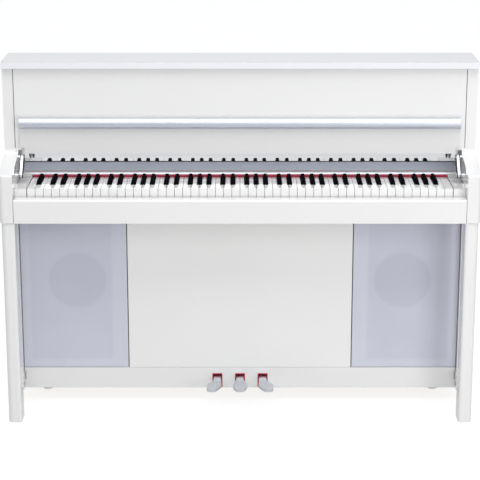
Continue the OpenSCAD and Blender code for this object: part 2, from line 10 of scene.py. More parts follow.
import bmesh
import bpy
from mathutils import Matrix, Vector


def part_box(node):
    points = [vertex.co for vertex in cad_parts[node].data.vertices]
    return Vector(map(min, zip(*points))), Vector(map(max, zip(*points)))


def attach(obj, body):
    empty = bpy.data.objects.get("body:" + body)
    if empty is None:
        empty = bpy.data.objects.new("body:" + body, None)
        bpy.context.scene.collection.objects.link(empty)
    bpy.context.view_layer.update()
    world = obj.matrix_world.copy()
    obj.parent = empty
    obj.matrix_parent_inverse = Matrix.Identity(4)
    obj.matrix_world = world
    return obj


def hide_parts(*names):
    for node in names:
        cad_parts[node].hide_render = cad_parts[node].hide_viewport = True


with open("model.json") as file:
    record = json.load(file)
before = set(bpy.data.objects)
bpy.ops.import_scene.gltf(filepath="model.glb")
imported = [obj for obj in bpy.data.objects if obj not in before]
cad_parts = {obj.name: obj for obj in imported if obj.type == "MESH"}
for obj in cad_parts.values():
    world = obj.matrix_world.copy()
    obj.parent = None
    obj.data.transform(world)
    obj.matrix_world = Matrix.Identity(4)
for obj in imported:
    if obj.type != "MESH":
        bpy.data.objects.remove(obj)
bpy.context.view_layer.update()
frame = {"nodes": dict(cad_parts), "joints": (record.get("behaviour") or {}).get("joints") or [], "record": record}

log = logging.getLogger("piano")

MM = 0.001
CREASE = math.radians(38)
CABINET = "cabinet"
FALLBOARD = "fallboard"

Colour = tuple[float, float, float]
Point2 = tuple[float, float]
Point3 = tuple[float, float, float]


class Axis(Enum):
    """The direction that an outline is carried along, and the two that it is drawn in."""

    X = (0, 1, 2)
    Y = (1, 0, 2)
    Z = (2, 0, 1)


class Side(Enum):
    """The bass end and the treble end of the piano."""

    LEFT = -1
    RIGHT = 1

    @property
    def word(self) -> str:
        """The side's name as piece names use it."""
        return self.name.lower()


@dataclass(frozen=True)
class Span:
    """A box in millimetres, in the piano's own frame."""

    x0: float
    x1: float
    y0: float
    y1: float
    z0: float
    z1: float

    @classmethod
    def of(cls, node: str) -> "Span":
        """The box of one node of the frame."""
        low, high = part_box(node)
        return cls(*(v / MM for pair in zip(low, high) for v in pair))

    @property
    def cx(self) -> float:
        """Middle of the box, sideways."""
        return (self.x0 + self.x1) / 2

    @property
    def cy(self) -> float:
        """Middle of the box, front to back."""
        return (self.y0 + self.y1) / 2

    @property
    def cz(self) -> float:
        """Middle of the box, in height."""
        return (self.z0 + self.z1) / 2


def arc(cx: float, cy: float, radius: float, start: float, end: float, steps: int = 8) -> list[Point2]:
    """Points along a circle.

    Args:
        cx: First coordinate of the centre.
        cy: Second coordinate of the centre.
        radius: Radius of the circle.
        start: Angle of the first point, in degrees.
        end: Angle of the last point, in degrees.
        steps: Number of chords.

    Returns:
        steps + 1 points, from start to end.
    """
    turns = [math.radians(start + (end - start) * i / steps) for i in range(steps + 1)]
    return [(cx + radius * math.cos(t), cy + radius * math.sin(t)) for t in turns]


def flowing(points: Sequence[Point2], steps: int = 6) -> list[Point2]:
    """A smooth closed curve through points.

    Args:
        points: The points, in order round the curve.
        steps: Pieces of curve between neighbouring points.

    Returns:
        The curve's points.
    """
    count = len(points)
    curve = []
    for i in range(count):
        before, start, end, after = (Vector(points[(i + k) % count]) for k in (-1, 0, 1, 2))
        for j in range(steps):
            t = j / steps
            bend = 2 * before - 5 * start + 4 * end - after
            twist = 3 * start - before - 3 * end + after
            at = start + 0.5 * t * (end - before + t * (bend + t * twist))
            curve.append((at.x, at.y))
    return curve


def rectangle(a0: float, a1: float, b0: float, b1: float) -> list[Point2]:
    """The four corners of a rectangle, in order."""
    return [(a0, b0), (a1, b0), (a1, b1), (a0, b1)]


class Stock:
    """One piece's mesh while it is being cut, in millimetres."""

    def __init__(self) -> None:
        """Starts with no material."""
        self.bm = bmesh.new()

    def corners(self, points: Iterable[Point3]) -> list[bmesh.types.BMVert]:
        """Adds loose corners, and returns them in the same order."""
        return [self.bm.verts.new(p) for p in points]

    def prism(self, outline: Sequence[Point2], axis: Axis, low: float, high: float) -> None:
        """Adds an outline carried along one axis.

        Args:
            outline: Points in the axis's two drawing directions.
            axis: Direction to carry the outline along.
            low: Where the prism starts.
            high: Where it ends.
        """
        self.loft([[self._lift(p, axis, at) for p in outline] for at in (low, high)])

    @staticmethod
    def _lift(point: Point2, axis: Axis, at: float) -> Point3:
        """Puts a drawn point into space, at a distance along the axis."""
        along, first, second = axis.value
        place = [0.0, 0.0, 0.0]
        place[along] = at
        place[first] = point[0]
        place[second] = point[1]
        return (place[0], place[1], place[2])

    def bar(self, span: Span) -> None:
        """Adds a rectangular board that fills a box."""
        self.prism(rectangle(span.y0, span.y1, span.z0, span.z1), Axis.X, span.x0, span.x1)

    def loft(self, rings: Sequence[Sequence[Point3]]) -> None:
        """Adds a closed skin through rings that all have the same number of points."""
        loops = [self.corners(ring) for ring in rings]
        for one, two in zip(loops, loops[1:]):
            for i in range(len(one)):
                j = (i + 1) % len(one)
                self.bm.faces.new((one[i], one[j], two[j], two[i]))
        self.bm.faces.new(loops[0][::-1])
        self.bm.faces.new(loops[-1])

    def loop(self, rings: Sequence[Sequence[Point3]]) -> None:
        """Adds a closed ring of skin through rings of points, with the last joined to the first."""
        loops = [self.corners(ring) for ring in rings]
        for one, two in zip(loops, loops[1:] + loops[:1]):
            for i in range(len(one)):
                j = (i + 1) % len(one)
                self.bm.faces.new((one[i], one[j], two[j], two[i]))

    @staticmethod
    def circles(
        profile: Sequence[Point2], base: Point3, direction: Point3, steps: int
    ) -> list[list[Point3]]:
        """The circles that a profile makes when it is turned about an axis."""
        turn = Vector((0, 0, 1)).rotation_difference(Vector(direction)).to_matrix()
        angles = [2 * math.pi * i / steps for i in range(steps)]
        return [
            [tuple(turn @ Vector((r * math.cos(a), r * math.sin(a), along)) + Vector(base)) for a in angles]
            for r, along in profile
        ]

    def turned(self, profile: Sequence[Point2], base: Point3, direction: Point3, steps: int = 32) -> None:
        """Adds a solid of revolution.

        Args:
            profile: (radius, distance along the axis) points, from one end to the other.
            base: Where the axis starts.
            direction: Which way the axis points.
            steps: Number of facets round the axis.
        """
        self.loft(self.circles(profile, base, direction, steps))

    def washer(self, profile: Sequence[Point2], base: Point3, direction: Point3, steps: int = 32) -> None:
        """Adds a turned ring: the profile goes all the way round its own section."""
        self.loop(self.circles(profile, base, direction, steps))

    def round_edges(
        self, radius: float, steps: int = 3, sharper_than: float = 28.0, keep: "EdgeTest | None" = None
    ) -> None:
        """Rounds the sharp edges.

        Args:
            radius: Radius of the rounding.
            steps: Number of facets in each rounded edge.
            sharper_than: Edges that turn less than this many degrees stay.
            keep: A test that an edge's middle has to pass, or None for every edge.
        """
        limit = math.radians(sharper_than)
        chosen = []
        for edge in self.bm.edges:
            if len(edge.link_faces) != 2 or edge.calc_face_angle(0.0) < limit:
                continue
            middle = (edge.verts[0].co + edge.verts[1].co) / 2
            if keep is None or keep.passes(middle, edge):
                chosen.append(edge)
        bmesh.ops.bevel(
            self.bm,
            geom=chosen,
            offset=radius,
            offset_type="OFFSET",
            segments=steps,
            profile=0.5,
            affect="EDGES",
            clamp_overlap=True,
        )

    def mirrored(self, side: Side) -> "Stock":
        """Flips the piece to the other end of the piano if the side is the bass end."""
        if side is Side.LEFT:
            bmesh.ops.scale(self.bm, vec=(-1, 1, 1), verts=self.bm.verts)
        return self

    def mesh(self, name: str) -> bpy.types.Mesh:
        """The finished mesh in metres, with its faces turned outwards."""
        bmesh.ops.recalc_face_normals(self.bm, faces=self.bm.faces)
        bmesh.ops.scale(self.bm, vec=(MM, MM, MM), verts=self.bm.verts)
        for edge in self.bm.edges:
            edge.smooth = len(edge.link_faces) == 2 and edge.calc_face_angle(0.0) < CREASE
        made = bpy.data.meshes.new(name)
        for face in self.bm.faces:
            face.smooth = True
        self.bm.to_mesh(made)
        self.bm.free()
        return made


@dataclass(frozen=True)
class EdgeTest:
    """Picks edges whose middle lies in a box, in millimetres."""

    low: Point3 = (-1e6, -1e6, -1e6)
    high: Point3 = (1e6, 1e6, 1e6)

    def passes(self, middle: Vector, edge: bmesh.types.BMEdge) -> bool:
        """True if the edge's middle is in the box and the edge has a length."""
        inside = all(l <= m <= h for l, m, h in zip(self.low, middle, self.high))
        return inside and edge.calc_length() > 0


# ---- wiring of the finishes ----


class Wiring:
    """A node tree that is being wired."""

    def __init__(self, tree: bpy.types.NodeTree) -> None:
        """Keeps the tree."""
        self.tree = tree

    def node(self, kind: str, inputs: dict | None = None, **settings: object) -> bpy.types.Node:
        """Adds a node.

        Args:
            kind: Blender's name of the node type.
            inputs: Values or sockets, by input name or number.
            settings: The node's own settings.

        Returns:
            The new node.
        """
        made = self.tree.nodes.new(kind)
        for key, value in settings.items():
            setattr(made, key, value)
        for key, value in (inputs or {}).items():
            if isinstance(value, bpy.types.NodeSocket):
                self.tree.links.new(value, made.inputs[key])
            else:
                made.inputs[key].default_value = value
        return made

    def sum(self, kind: str, *values: object) -> bpy.types.NodeSocket:
        """One step of arithmetic on values or sockets."""
        return self.node("ShaderNodeMath", dict(enumerate(values)), operation=kind).outputs[0]

    def spread(
        self, value: bpy.types.NodeSocket, low: object, high: object, to: tuple
    ) -> bpy.types.NodeSocket:
        """Maps low..high onto to[0]..to[1], smoothly and without going past either end."""
        inputs = {"Value": value, "From Min": low, "From Max": high, "To Min": to[0], "To Max": to[1]}
        return self.node("ShaderNodeMapRange", inputs, interpolation_type="SMOOTHSTEP").outputs["Result"]

    def places(self) -> bpy.types.NodeSocket:
        """Where a point of the piece is, in metres, in the piano's own frame."""
        return self.node("ShaderNodeTexCoord").outputs["Object"]

    def noise(
        self, scale: object, detail: float = 3.0, where: bpy.types.NodeSocket | None = None
    ) -> bpy.types.NodeSocket:
        """Soft random values between 0 and 1."""
        inputs = {"Vector": where or self.places(), "Scale": scale, "Detail": detail}
        return self.node("ShaderNodeTexNoise", inputs).outputs["Fac"]


def start_group(
    name: str, takes: dict[str, str], gives: dict[str, str]
) -> tuple[Wiring, dict, bpy.types.Node]:
    """Starts a shader node group.

    Args:
        name: The group's name.
        takes: Input names with their socket types.
        gives: Output names with their socket types.

    Returns:
        The wiring, the input sockets by name, and the output node.
    """
    tree = bpy.data.node_groups.new(name, "ShaderNodeTree")
    for label, kind in takes.items():
        tree.interface.new_socket(label, in_out="INPUT", socket_type=kind)
    for label, kind in gives.items():
        tree.interface.new_socket(label, in_out="OUTPUT", socket_type=kind)
    wiring = Wiring(tree)
    source = wiring.node("NodeGroupInput")
    return wiring, {label: source.outputs[label] for label in takes}, wiring.node("NodeGroupOutput")


FLOAT = "NodeSocketFloat"
COLOUR = "NodeSocketColor"
VECTOR = "NodeSocketVector"


class Effects:
    """The effects that several finishes share, each a node group that is built once."""

    def __init__(self) -> None:
        """Builds every group."""
        self.tone_drift = self._tone_drift()
        self.handling = self._handling()
        self.lacquer_film = self._lacquer_film()
        self.brushed_lines = self._brushed_lines()
        self.cloth_weave = self._cloth_weave()
        self.felt_pile = self._felt_pile()
        self.moulded_grain = self._moulded_grain()
        self.pressed_fibre = self._pressed_fibre()
        self.show_through = self._show_through()

    @staticmethod
    def _tone_drift() -> bpy.types.NodeTree:
        """A colour that drifts a little lighter and darker over broad patches."""
        w, take, out = start_group(
            "tone_drift", {"Colour": COLOUR, "Drift": FLOAT, "Patches": FLOAT}, {"Colour": COLOUR}
        )
        low = w.sum("SUBTRACT", 1.0, take["Drift"])
        high = w.sum("ADD", 1.0, take["Drift"])
        factor = w.spread(w.noise(take["Patches"], 2.0), 0.3, 0.7, (low, high))
        scaled = w.node("ShaderNodeVectorMath", {0: take["Colour"], "Scale": factor}, operation="SCALE")
        w.tree.links.new(scaled.outputs[0], out.inputs["Colour"])
        return w.tree

    @staticmethod
    def _handling() -> bpy.types.NodeTree:
        """Roughness that rises a little in soft smears, as a wiped surface has."""
        w, take, out = start_group(
            "handling_smears", {"Roughness": FLOAT, "Smear": FLOAT, "Patches": FLOAT}, {"Roughness": FLOAT}
        )
        stretched = w.node("ShaderNodeMapping", {"Vector": w.places(), "Scale": (0.35, 1.0, 1.0)})
        patches = w.noise(take["Patches"], 4.0, stretched.outputs[0])
        smear = w.spread(patches, 0.42, 0.75, (0.0, take["Smear"]))
        w.tree.links.new(w.sum("ADD", take["Roughness"], smear), out.inputs["Roughness"])
        return w.tree

    @staticmethod
    def _lacquer_film() -> bpy.types.NodeTree:
        """Height of the faint ripple that sprayed lacquer keeps after polishing."""
        w, take, out = start_group("lacquer_film", {"Ripples": FLOAT}, {"Height": FLOAT})
        broad = w.noise(take["Ripples"], 1.0)
        fine = w.noise(w.sum("MULTIPLY", take["Ripples"], 7.0), 1.0)
        w.tree.links.new(w.sum("ADD", broad, w.sum("MULTIPLY", fine, 0.25)), out.inputs["Height"])
        return w.tree

    @staticmethod
    def _brushed_lines() -> bpy.types.NodeTree:
        """Fine lines drawn out along one direction, as a height and as a mask."""
        w, take, out = start_group("brushed_lines", {"Lines": VECTOR}, {"Height": FLOAT, "Mask": FLOAT})
        drawn = w.node("ShaderNodeVectorMath", {0: w.places(), 1: take["Lines"]}, operation="MULTIPLY")
        lines = w.noise(1.0, 5.0, drawn.outputs[0])
        w.tree.links.new(lines, out.inputs["Height"])
        w.tree.links.new(w.spread(lines, 0.35, 0.65, (0.0, 1.0)), out.inputs["Mask"])
        return w.tree

    @staticmethod
    def _cloth_weave() -> bpy.types.NodeTree:
        """Over and under threads of a plain weave, as a height and as a mask of the holes."""
        w, take, out = start_group("cloth_weave", {"Threads": FLOAT}, {"Height": FLOAT, "Mask": FLOAT})
        split = w.node("ShaderNodeSeparateXYZ", {0: w.places()})
        turns = w.sum("MULTIPLY", take["Threads"], math.pi)
        across = w.sum("SINE", w.sum("MULTIPLY", w.sum("ADD", split.outputs[0], split.outputs[1]), turns))
        up = w.sum("SINE", w.sum("MULTIPLY", w.sum("SUBTRACT", split.outputs[2], split.outputs[1]), turns))
        weave = w.sum("MULTIPLY", across, up)
        fuzz = w.sum("MULTIPLY", w.noise(2600.0, 1.0), 0.6)
        w.tree.links.new(w.sum("ADD", weave, fuzz), out.inputs["Height"])
        w.tree.links.new(w.spread(w.sum("ABSOLUTE", weave), 0.0, 0.6, (1.0, 0.0)), out.inputs["Mask"])
        return w.tree

    @staticmethod
    def _felt_pile() -> bpy.types.NodeTree:
        """The short matted fibres of felt, as a height and as a mask of the tufts."""
        w, take, out = start_group("felt_pile", {"Fibres": FLOAT}, {"Height": FLOAT, "Mask": FLOAT})
        matted = w.noise(take["Fibres"], 6.0)
        cells = w.node("ShaderNodeTexVoronoi", {"Vector": w.places(), "Scale": take["Fibres"]})
        tufts = w.sum("MULTIPLY", cells.outputs["Distance"], 0.4)
        w.tree.links.new(w.sum("ADD", matted, tufts), out.inputs["Height"])
        w.tree.links.new(w.spread(matted, 0.35, 0.7, (0.0, 1.0)), out.inputs["Mask"])
        return w.tree

    @staticmethod
    def _moulded_grain() -> bpy.types.NodeTree:
        """The fine pebbled grain of a moulded or powder coated surface, as a height."""
        w, take, out = start_group("moulded_grain", {"Grain": FLOAT}, {"Height": FLOAT})
        pebbles = {"Vector": w.places(), "Scale": take["Grain"]}
        cells = w.node("ShaderNodeTexVoronoi", pebbles, feature="SMOOTH_F1")
        speck = w.noise(w.sum("MULTIPLY", take["Grain"], 2.0), 2.0)
        w.tree.links.new(w.sum("ADD", cells.outputs["Distance"], speck), out.inputs["Height"])
        return w.tree

    @staticmethod
    def _pressed_fibre() -> bpy.types.NodeTree:
        """The flecks of pressed fibreboard, mixed from two colours, with their height."""
        w, take, out = start_group(
            "pressed_fibre",
            {"Ground": COLOUR, "Fleck": COLOUR, "Flecks": FLOAT},
            {"Colour": COLOUR, "Height": FLOAT},
        )
        drawn = w.node("ShaderNodeMapping", {"Vector": w.places(), "Scale": (1.0, 3.0, 2.2)})
        fleck = w.spread(w.noise(take["Flecks"], 8.0, drawn.outputs[0]), 0.45, 0.68, (0.0, 1.0))
        mixed = w.node("ShaderNodeMix", {0: fleck, 6: take["Ground"], 7: take["Fleck"]}, data_type="RGBA")
        w.tree.links.new(mixed.outputs[2], out.inputs["Colour"])
        w.tree.links.new(fleck, out.inputs["Height"])
        return w.tree

    @staticmethod
    def _show_through() -> bpy.types.NodeTree:
        """How far thin cloth lets the dark loudspeaker and the pale frame behind it show.

        Speaker is 1 over the loudspeaker and 0 away from it, and Bars is 1 over the frame's bars. Across and
        Height give the loudspeaker's centre, Inner and Outer the opening's sides, and Foot and Head its ends.
        """
        places = ("Across", "Height", "Radius", "Inner", "Outer", "Foot", "Head", "Blur")
        w, take, out = start_group(
            "show_through", {label: FLOAT for label in places}, {"Speaker": FLOAT, "Bars": FLOAT}
        )
        split = w.node("ShaderNodeSeparateXYZ", {0: w.places()})
        x = w.sum("ABSOLUTE", split.outputs[0])
        z = split.outputs[2]
        reach = w.sum(
            "SQRT",
            w.sum(
                "ADD",
                w.sum("POWER", w.sum("SUBTRACT", x, take["Across"]), 2.0),
                w.sum("POWER", w.sum("ABSOLUTE", w.sum("SUBTRACT", z, take["Height"])), 2.0),
            ),
        )
        edge = w.sum("ADD", take["Radius"], w.sum("MULTIPLY", take["Blur"], 2.0))
        w.tree.links.new(w.spread(reach, take["Radius"], edge, (1.0, 0.0)), out.inputs["Speaker"])
        beyond = w.sum(
            "MAXIMUM",
            w.sum("MAXIMUM", w.sum("SUBTRACT", take["Inner"], x), w.sum("SUBTRACT", x, take["Outer"])),
            w.sum("MAXIMUM", w.sum("SUBTRACT", take["Foot"], z), w.sum("SUBTRACT", z, take["Head"])),
        )
        inside = w.sum("MULTIPLY", take["Blur"], -1.0)
        w.tree.links.new(w.spread(beyond, inside, take["Blur"], (0.0, 1.0)), out.inputs["Bars"])
        return w.tree


# ---- finishes ----


@dataclass(frozen=True)
class Finish:
    """What one surface is made of, and how it is worked.

    Attributes:
        name: Name of the material.
        slot: The record's material slot; not used.
        colour: Linear colour.
        roughness: Roughness of the clean surface.
        drift: How much the colour drifts between patches.
        smear: How much roughness the smears add.
        patches: Patches and smears in each metre.
    """

    name: str
    slot: str
    colour: Colour
    roughness: float
    drift: float = 0.02
    smear: float = 0.04
    patches: float = 6.0

    def material(self, effects: Effects) -> bpy.types.Material:
        """The material, made the first time that it is asked for."""
        title = f"{self.name}_finish"
        made = bpy.data.materials.get(title)
        if made is None:
            made = bpy.data.materials.new(title)
            made.use_nodes = True
            made.node_tree.nodes.clear()
            wiring = Wiring(made.node_tree)
            shader = wiring.node("ShaderNodeBsdfPrincipled", {"Roughness": self.roughness})
            wiring.node("ShaderNodeOutputMaterial", {"Surface": shader.outputs[0]})
            self.dress(wiring, shader, effects)
            made.diffuse_color = (*self.colour, 1.0)
        return made

    def dress(self, wiring: Wiring, shader: bpy.types.Node, effects: Effects) -> None:
        """Wires what every finish has: a colour that drifts, and smears in the roughness."""
        self.tint(wiring, shader, effects, (*self.colour, 1.0))
        wiring.tree.links.new(self.smeared(wiring, effects), shader.inputs["Roughness"])

    def smeared(self, wiring: Wiring, effects: Effects) -> bpy.types.NodeSocket:
        """The roughness, with its soft smears."""
        takes = {"Roughness": self.roughness, "Smear": self.smear, "Patches": self.patches}
        return self.group(wiring, effects.handling, takes, {}).outputs["Roughness"]

    def tint(self, wiring: Wiring, shader: bpy.types.Node, effects: Effects, colour: object) -> None:
        """Feeds the base colour from a colour or a socket, drifting over broad patches."""
        self.group(
            wiring, effects.tone_drift, {"Colour": colour, "Drift": self.drift, "Patches": self.patches},
            {"Colour": shader.inputs["Base Color"]},
        )

    @staticmethod
    def group(
        wiring: Wiring,
        tree: bpy.types.NodeTree,
        takes: dict[str, object],
        gives: dict[str, bpy.types.NodeSocket],
    ) -> bpy.types.Node:
        """Places a node group.

        Args:
            wiring: The material being wired.
            tree: The group's tree.
            takes: Values or sockets for its inputs.
            gives: Where each output goes.

        Returns:
            The group's node.
        """
        placed = wiring.tree.nodes.new("ShaderNodeGroup")
        placed.node_tree = tree
        for label, value in takes.items():
            if isinstance(value, bpy.types.NodeSocket):
                wiring.tree.links.new(value, placed.inputs[label])
            else:
                placed.inputs[label].default_value = value
        for label, socket in gives.items():
            wiring.tree.links.new(placed.outputs[label], socket)
        return placed

    @staticmethod
    def emboss(
        wiring: Wiring, shader: bpy.types.Node, height: bpy.types.NodeSocket, strength: float, depth: float
    ) -> None:
        """Lets a height tilt the surface, with its depth in millimetres."""
        bump = wiring.node("ShaderNodeBump", {"Height": height, "Strength": strength, "Distance": depth * MM})
        wiring.tree.links.new(bump.outputs["Normal"], shader.inputs["Normal"])


@dataclass(frozen=True)
class Lacquer(Finish):
    """Sprayed lacquer, with a clear coat over it if it is polished.

    Attributes:
        coat: Weight of the clear coat.
        ripples: Ripples in each metre of the film.
        ripple_depth: Depth of the ripples, in millimetres.
    """

    coat: float = 1.0
    ripples: float = 70.0
    ripple_depth: float = 0.05

    def dress(self, wiring: Wiring, shader: bpy.types.Node, effects: Effects) -> None:
        """Adds the clear coat and the rippled film."""
        super().dress(wiring, shader, effects)
        shader.inputs["Coat Weight"].default_value = self.coat
        shader.inputs["Coat Roughness"].default_value = 0.03
        film = self.group(wiring, effects.lacquer_film, {"Ripples": self.ripples}, {})
        self.emboss(wiring, shader, film.outputs["Height"], strength=0.25, depth=self.ripple_depth)


@dataclass(frozen=True)
class Metal(Finish):
    """Bare, plated or anodised metal.

    Attributes:
        lines: How fast the brushed lines change along X, Y and Z.
        line_depth: Depth of the lines, in millimetres.
        line_roughness: Roughness that the lines add.
        metal: How metallic the surface is, below 1 for a metallic paint.
    """

    lines: Point3 = (6.0, 900.0, 900.0)
    line_depth: float = 0.01
    line_roughness: float = 0.06
    metal: float = 1.0

    def dress(self, wiring: Wiring, shader: bpy.types.Node, effects: Effects) -> None:
        """Adds the brushed lines."""
        self.tint(wiring, shader, effects, (*self.colour, 1.0))
        shader.inputs["Metallic"].default_value = self.metal
        smeared = self.smeared(wiring, effects)
        brushed = self.group(wiring, effects.brushed_lines, {"Lines": self.lines}, {})
        added = wiring.sum("MULTIPLY", brushed.outputs["Mask"], self.line_roughness)
        total = wiring.sum("ADD", smeared, added)
        wiring.tree.links.new(total, shader.inputs["Roughness"])
        self.emboss(wiring, shader, brushed.outputs["Height"], strength=0.3, depth=self.line_depth)


@dataclass(frozen=True)
class Moulded(Finish):
    """Moulded plastic, rubber or powder coat.

    Attributes:
        grain: Pebbles in each metre.
        grain_depth: Depth of the grain, in millimetres.
        coat: Weight of a clear coat.
        shine: How strongly the bare surface reflects.
    """

    grain: float = 900.0
    grain_depth: float = 0.05
    coat: float = 0.0
    shine: float = 0.5

    def dress(self, wiring: Wiring, shader: bpy.types.Node, effects: Effects) -> None:
        """Adds the grain."""
        super().dress(wiring, shader, effects)
        shader.inputs["Coat Weight"].default_value = self.coat
        shader.inputs["Specular IOR Level"].default_value = self.shine
        grain = self.group(wiring, effects.moulded_grain, {"Grain": self.grain}, {})
        self.emboss(wiring, shader, grain.outputs["Height"], strength=0.4, depth=self.grain_depth)


@dataclass(frozen=True)
class Fibreboard(Finish):
    """Bare or sealed pressed board.

    Attributes:
        fleck: Colour of the flecks.
        flecks: Flecks in each metre.
    """

    fleck: Colour = (0.5, 0.4, 0.28)
    flecks: float = 260.0

    def dress(self, wiring: Wiring, shader: bpy.types.Node, effects: Effects) -> None:
        """Adds the flecks to the colour and the height."""
        super().dress(wiring, shader, effects)
        board = self.group(
            wiring, effects.pressed_fibre,
            {"Ground": (*self.colour, 1.0), "Fleck": (*self.fleck, 1.0), "Flecks": self.flecks}, {},
        )
        drift = next(n for n in wiring.tree.nodes if getattr(n, "node_tree", None) is effects.tone_drift)
        wiring.tree.links.new(board.outputs["Colour"], drift.inputs["Colour"])
        self.emboss(wiring, shader, board.outputs["Height"], strength=0.3, depth=0.1)


@dataclass(frozen=True)
class Felt(Finish):
    """Dense wool felt.

    Attributes:
        fibres: Fibres in each metre.
        tuft: Colour of the tufts that stand up.
    """

    fibres: float = 1400.0
    tuft: Colour = (0.62, 0.03, 0.09)

    def dress(self, wiring: Wiring, shader: bpy.types.Node, effects: Effects) -> None:
        """Adds the pile and its sheen."""
        pile = self.group(wiring, effects.felt_pile, {"Fibres": self.fibres}, {})
        mixed = wiring.node(
            "ShaderNodeMix",
            {0: pile.outputs["Mask"], 6: (*self.colour, 1.0), 7: (*self.tuft, 1.0)},
            data_type="RGBA",
        )
        self.tint(wiring, shader, effects, mixed.outputs[2])
        shader.inputs["Sheen Weight"].default_value = 0.5
        shader.inputs["Sheen Roughness"].default_value = 0.4
        self.emboss(wiring, shader, pile.outputs["Height"], strength=0.7, depth=0.3)


@dataclass(frozen=True)
class GrilleCloth(Finish):
    """Thin speaker cloth that lets a little of what is behind it show.

    Attributes:
        threads: Threads in each metre.
        hole: Colour of the holes between threads.
        behind: Colour over the loudspeaker.
        over_bars: Colour over the frame's bars.
        speaker: (sideways, height, radius) of the loudspeaker, in millimetres.
        opening: (inner, outer, foot, head) of the frame's opening, in millimetres.
        blur: How softly the shapes behind the cloth end, in millimetres.
        open_share: How strongly the holes colour the cloth.
    """

    threads: float = 1100.0
    hole: Colour = (0.4, 0.41, 0.5)
    behind: Colour = (0.56, 0.57, 0.665)
    over_bars: Colour = (0.66, 0.672, 0.76)
    speaker: Point3 = (487.0, 385.0, 80.0)
    opening: tuple[float, float, float, float] = (384.0, 630.0, 135.0, 565.0)
    blur: float = 6.0
    open_share: float = 0.35

    def dress(self, wiring: Wiring, shader: bpy.types.Node, effects: Effects) -> None:
        """Adds the weave, and the faint shapes behind the cloth."""
        across, height, radius = (v * MM for v in self.speaker)
        inner, outer, foot, head = (v * MM for v in self.opening)
        shows = self.group(
            wiring, effects.show_through,
            {
                "Across": across, "Height": height, "Radius": radius, "Inner": inner,
                "Outer": outer, "Foot": foot, "Head": head, "Blur": self.blur * MM,
            }, {},
        )
        dark = wiring.node(
            "ShaderNodeMix",
            {0: shows.outputs["Speaker"], 6: (*self.colour, 1.0), 7: (*self.behind, 1.0)},
            data_type="RGBA",
        )
        pale = wiring.node(
            "ShaderNodeMix",
            {0: shows.outputs["Bars"], 6: dark.outputs[2], 7: (*self.over_bars, 1.0)},
            data_type="RGBA",
        )
        weave = self.group(wiring, effects.cloth_weave, {"Threads": self.threads}, {})
        holes = wiring.sum("MULTIPLY", weave.outputs["Mask"], self.open_share)
        mixed = wiring.node(
            "ShaderNodeMix", {0: holes, 6: pale.outputs[2], 7: (*self.hole, 1.0)}, data_type="RGBA"
        )
        self.tint(wiring, shader, effects, mixed.outputs[2])
        shader.inputs["Sheen Weight"].default_value = 0.25
        shader.inputs["Sheen Roughness"].default_value = 0.5
        self.emboss(wiring, shader, weave.outputs["Height"], strength=0.5, depth=0.15)


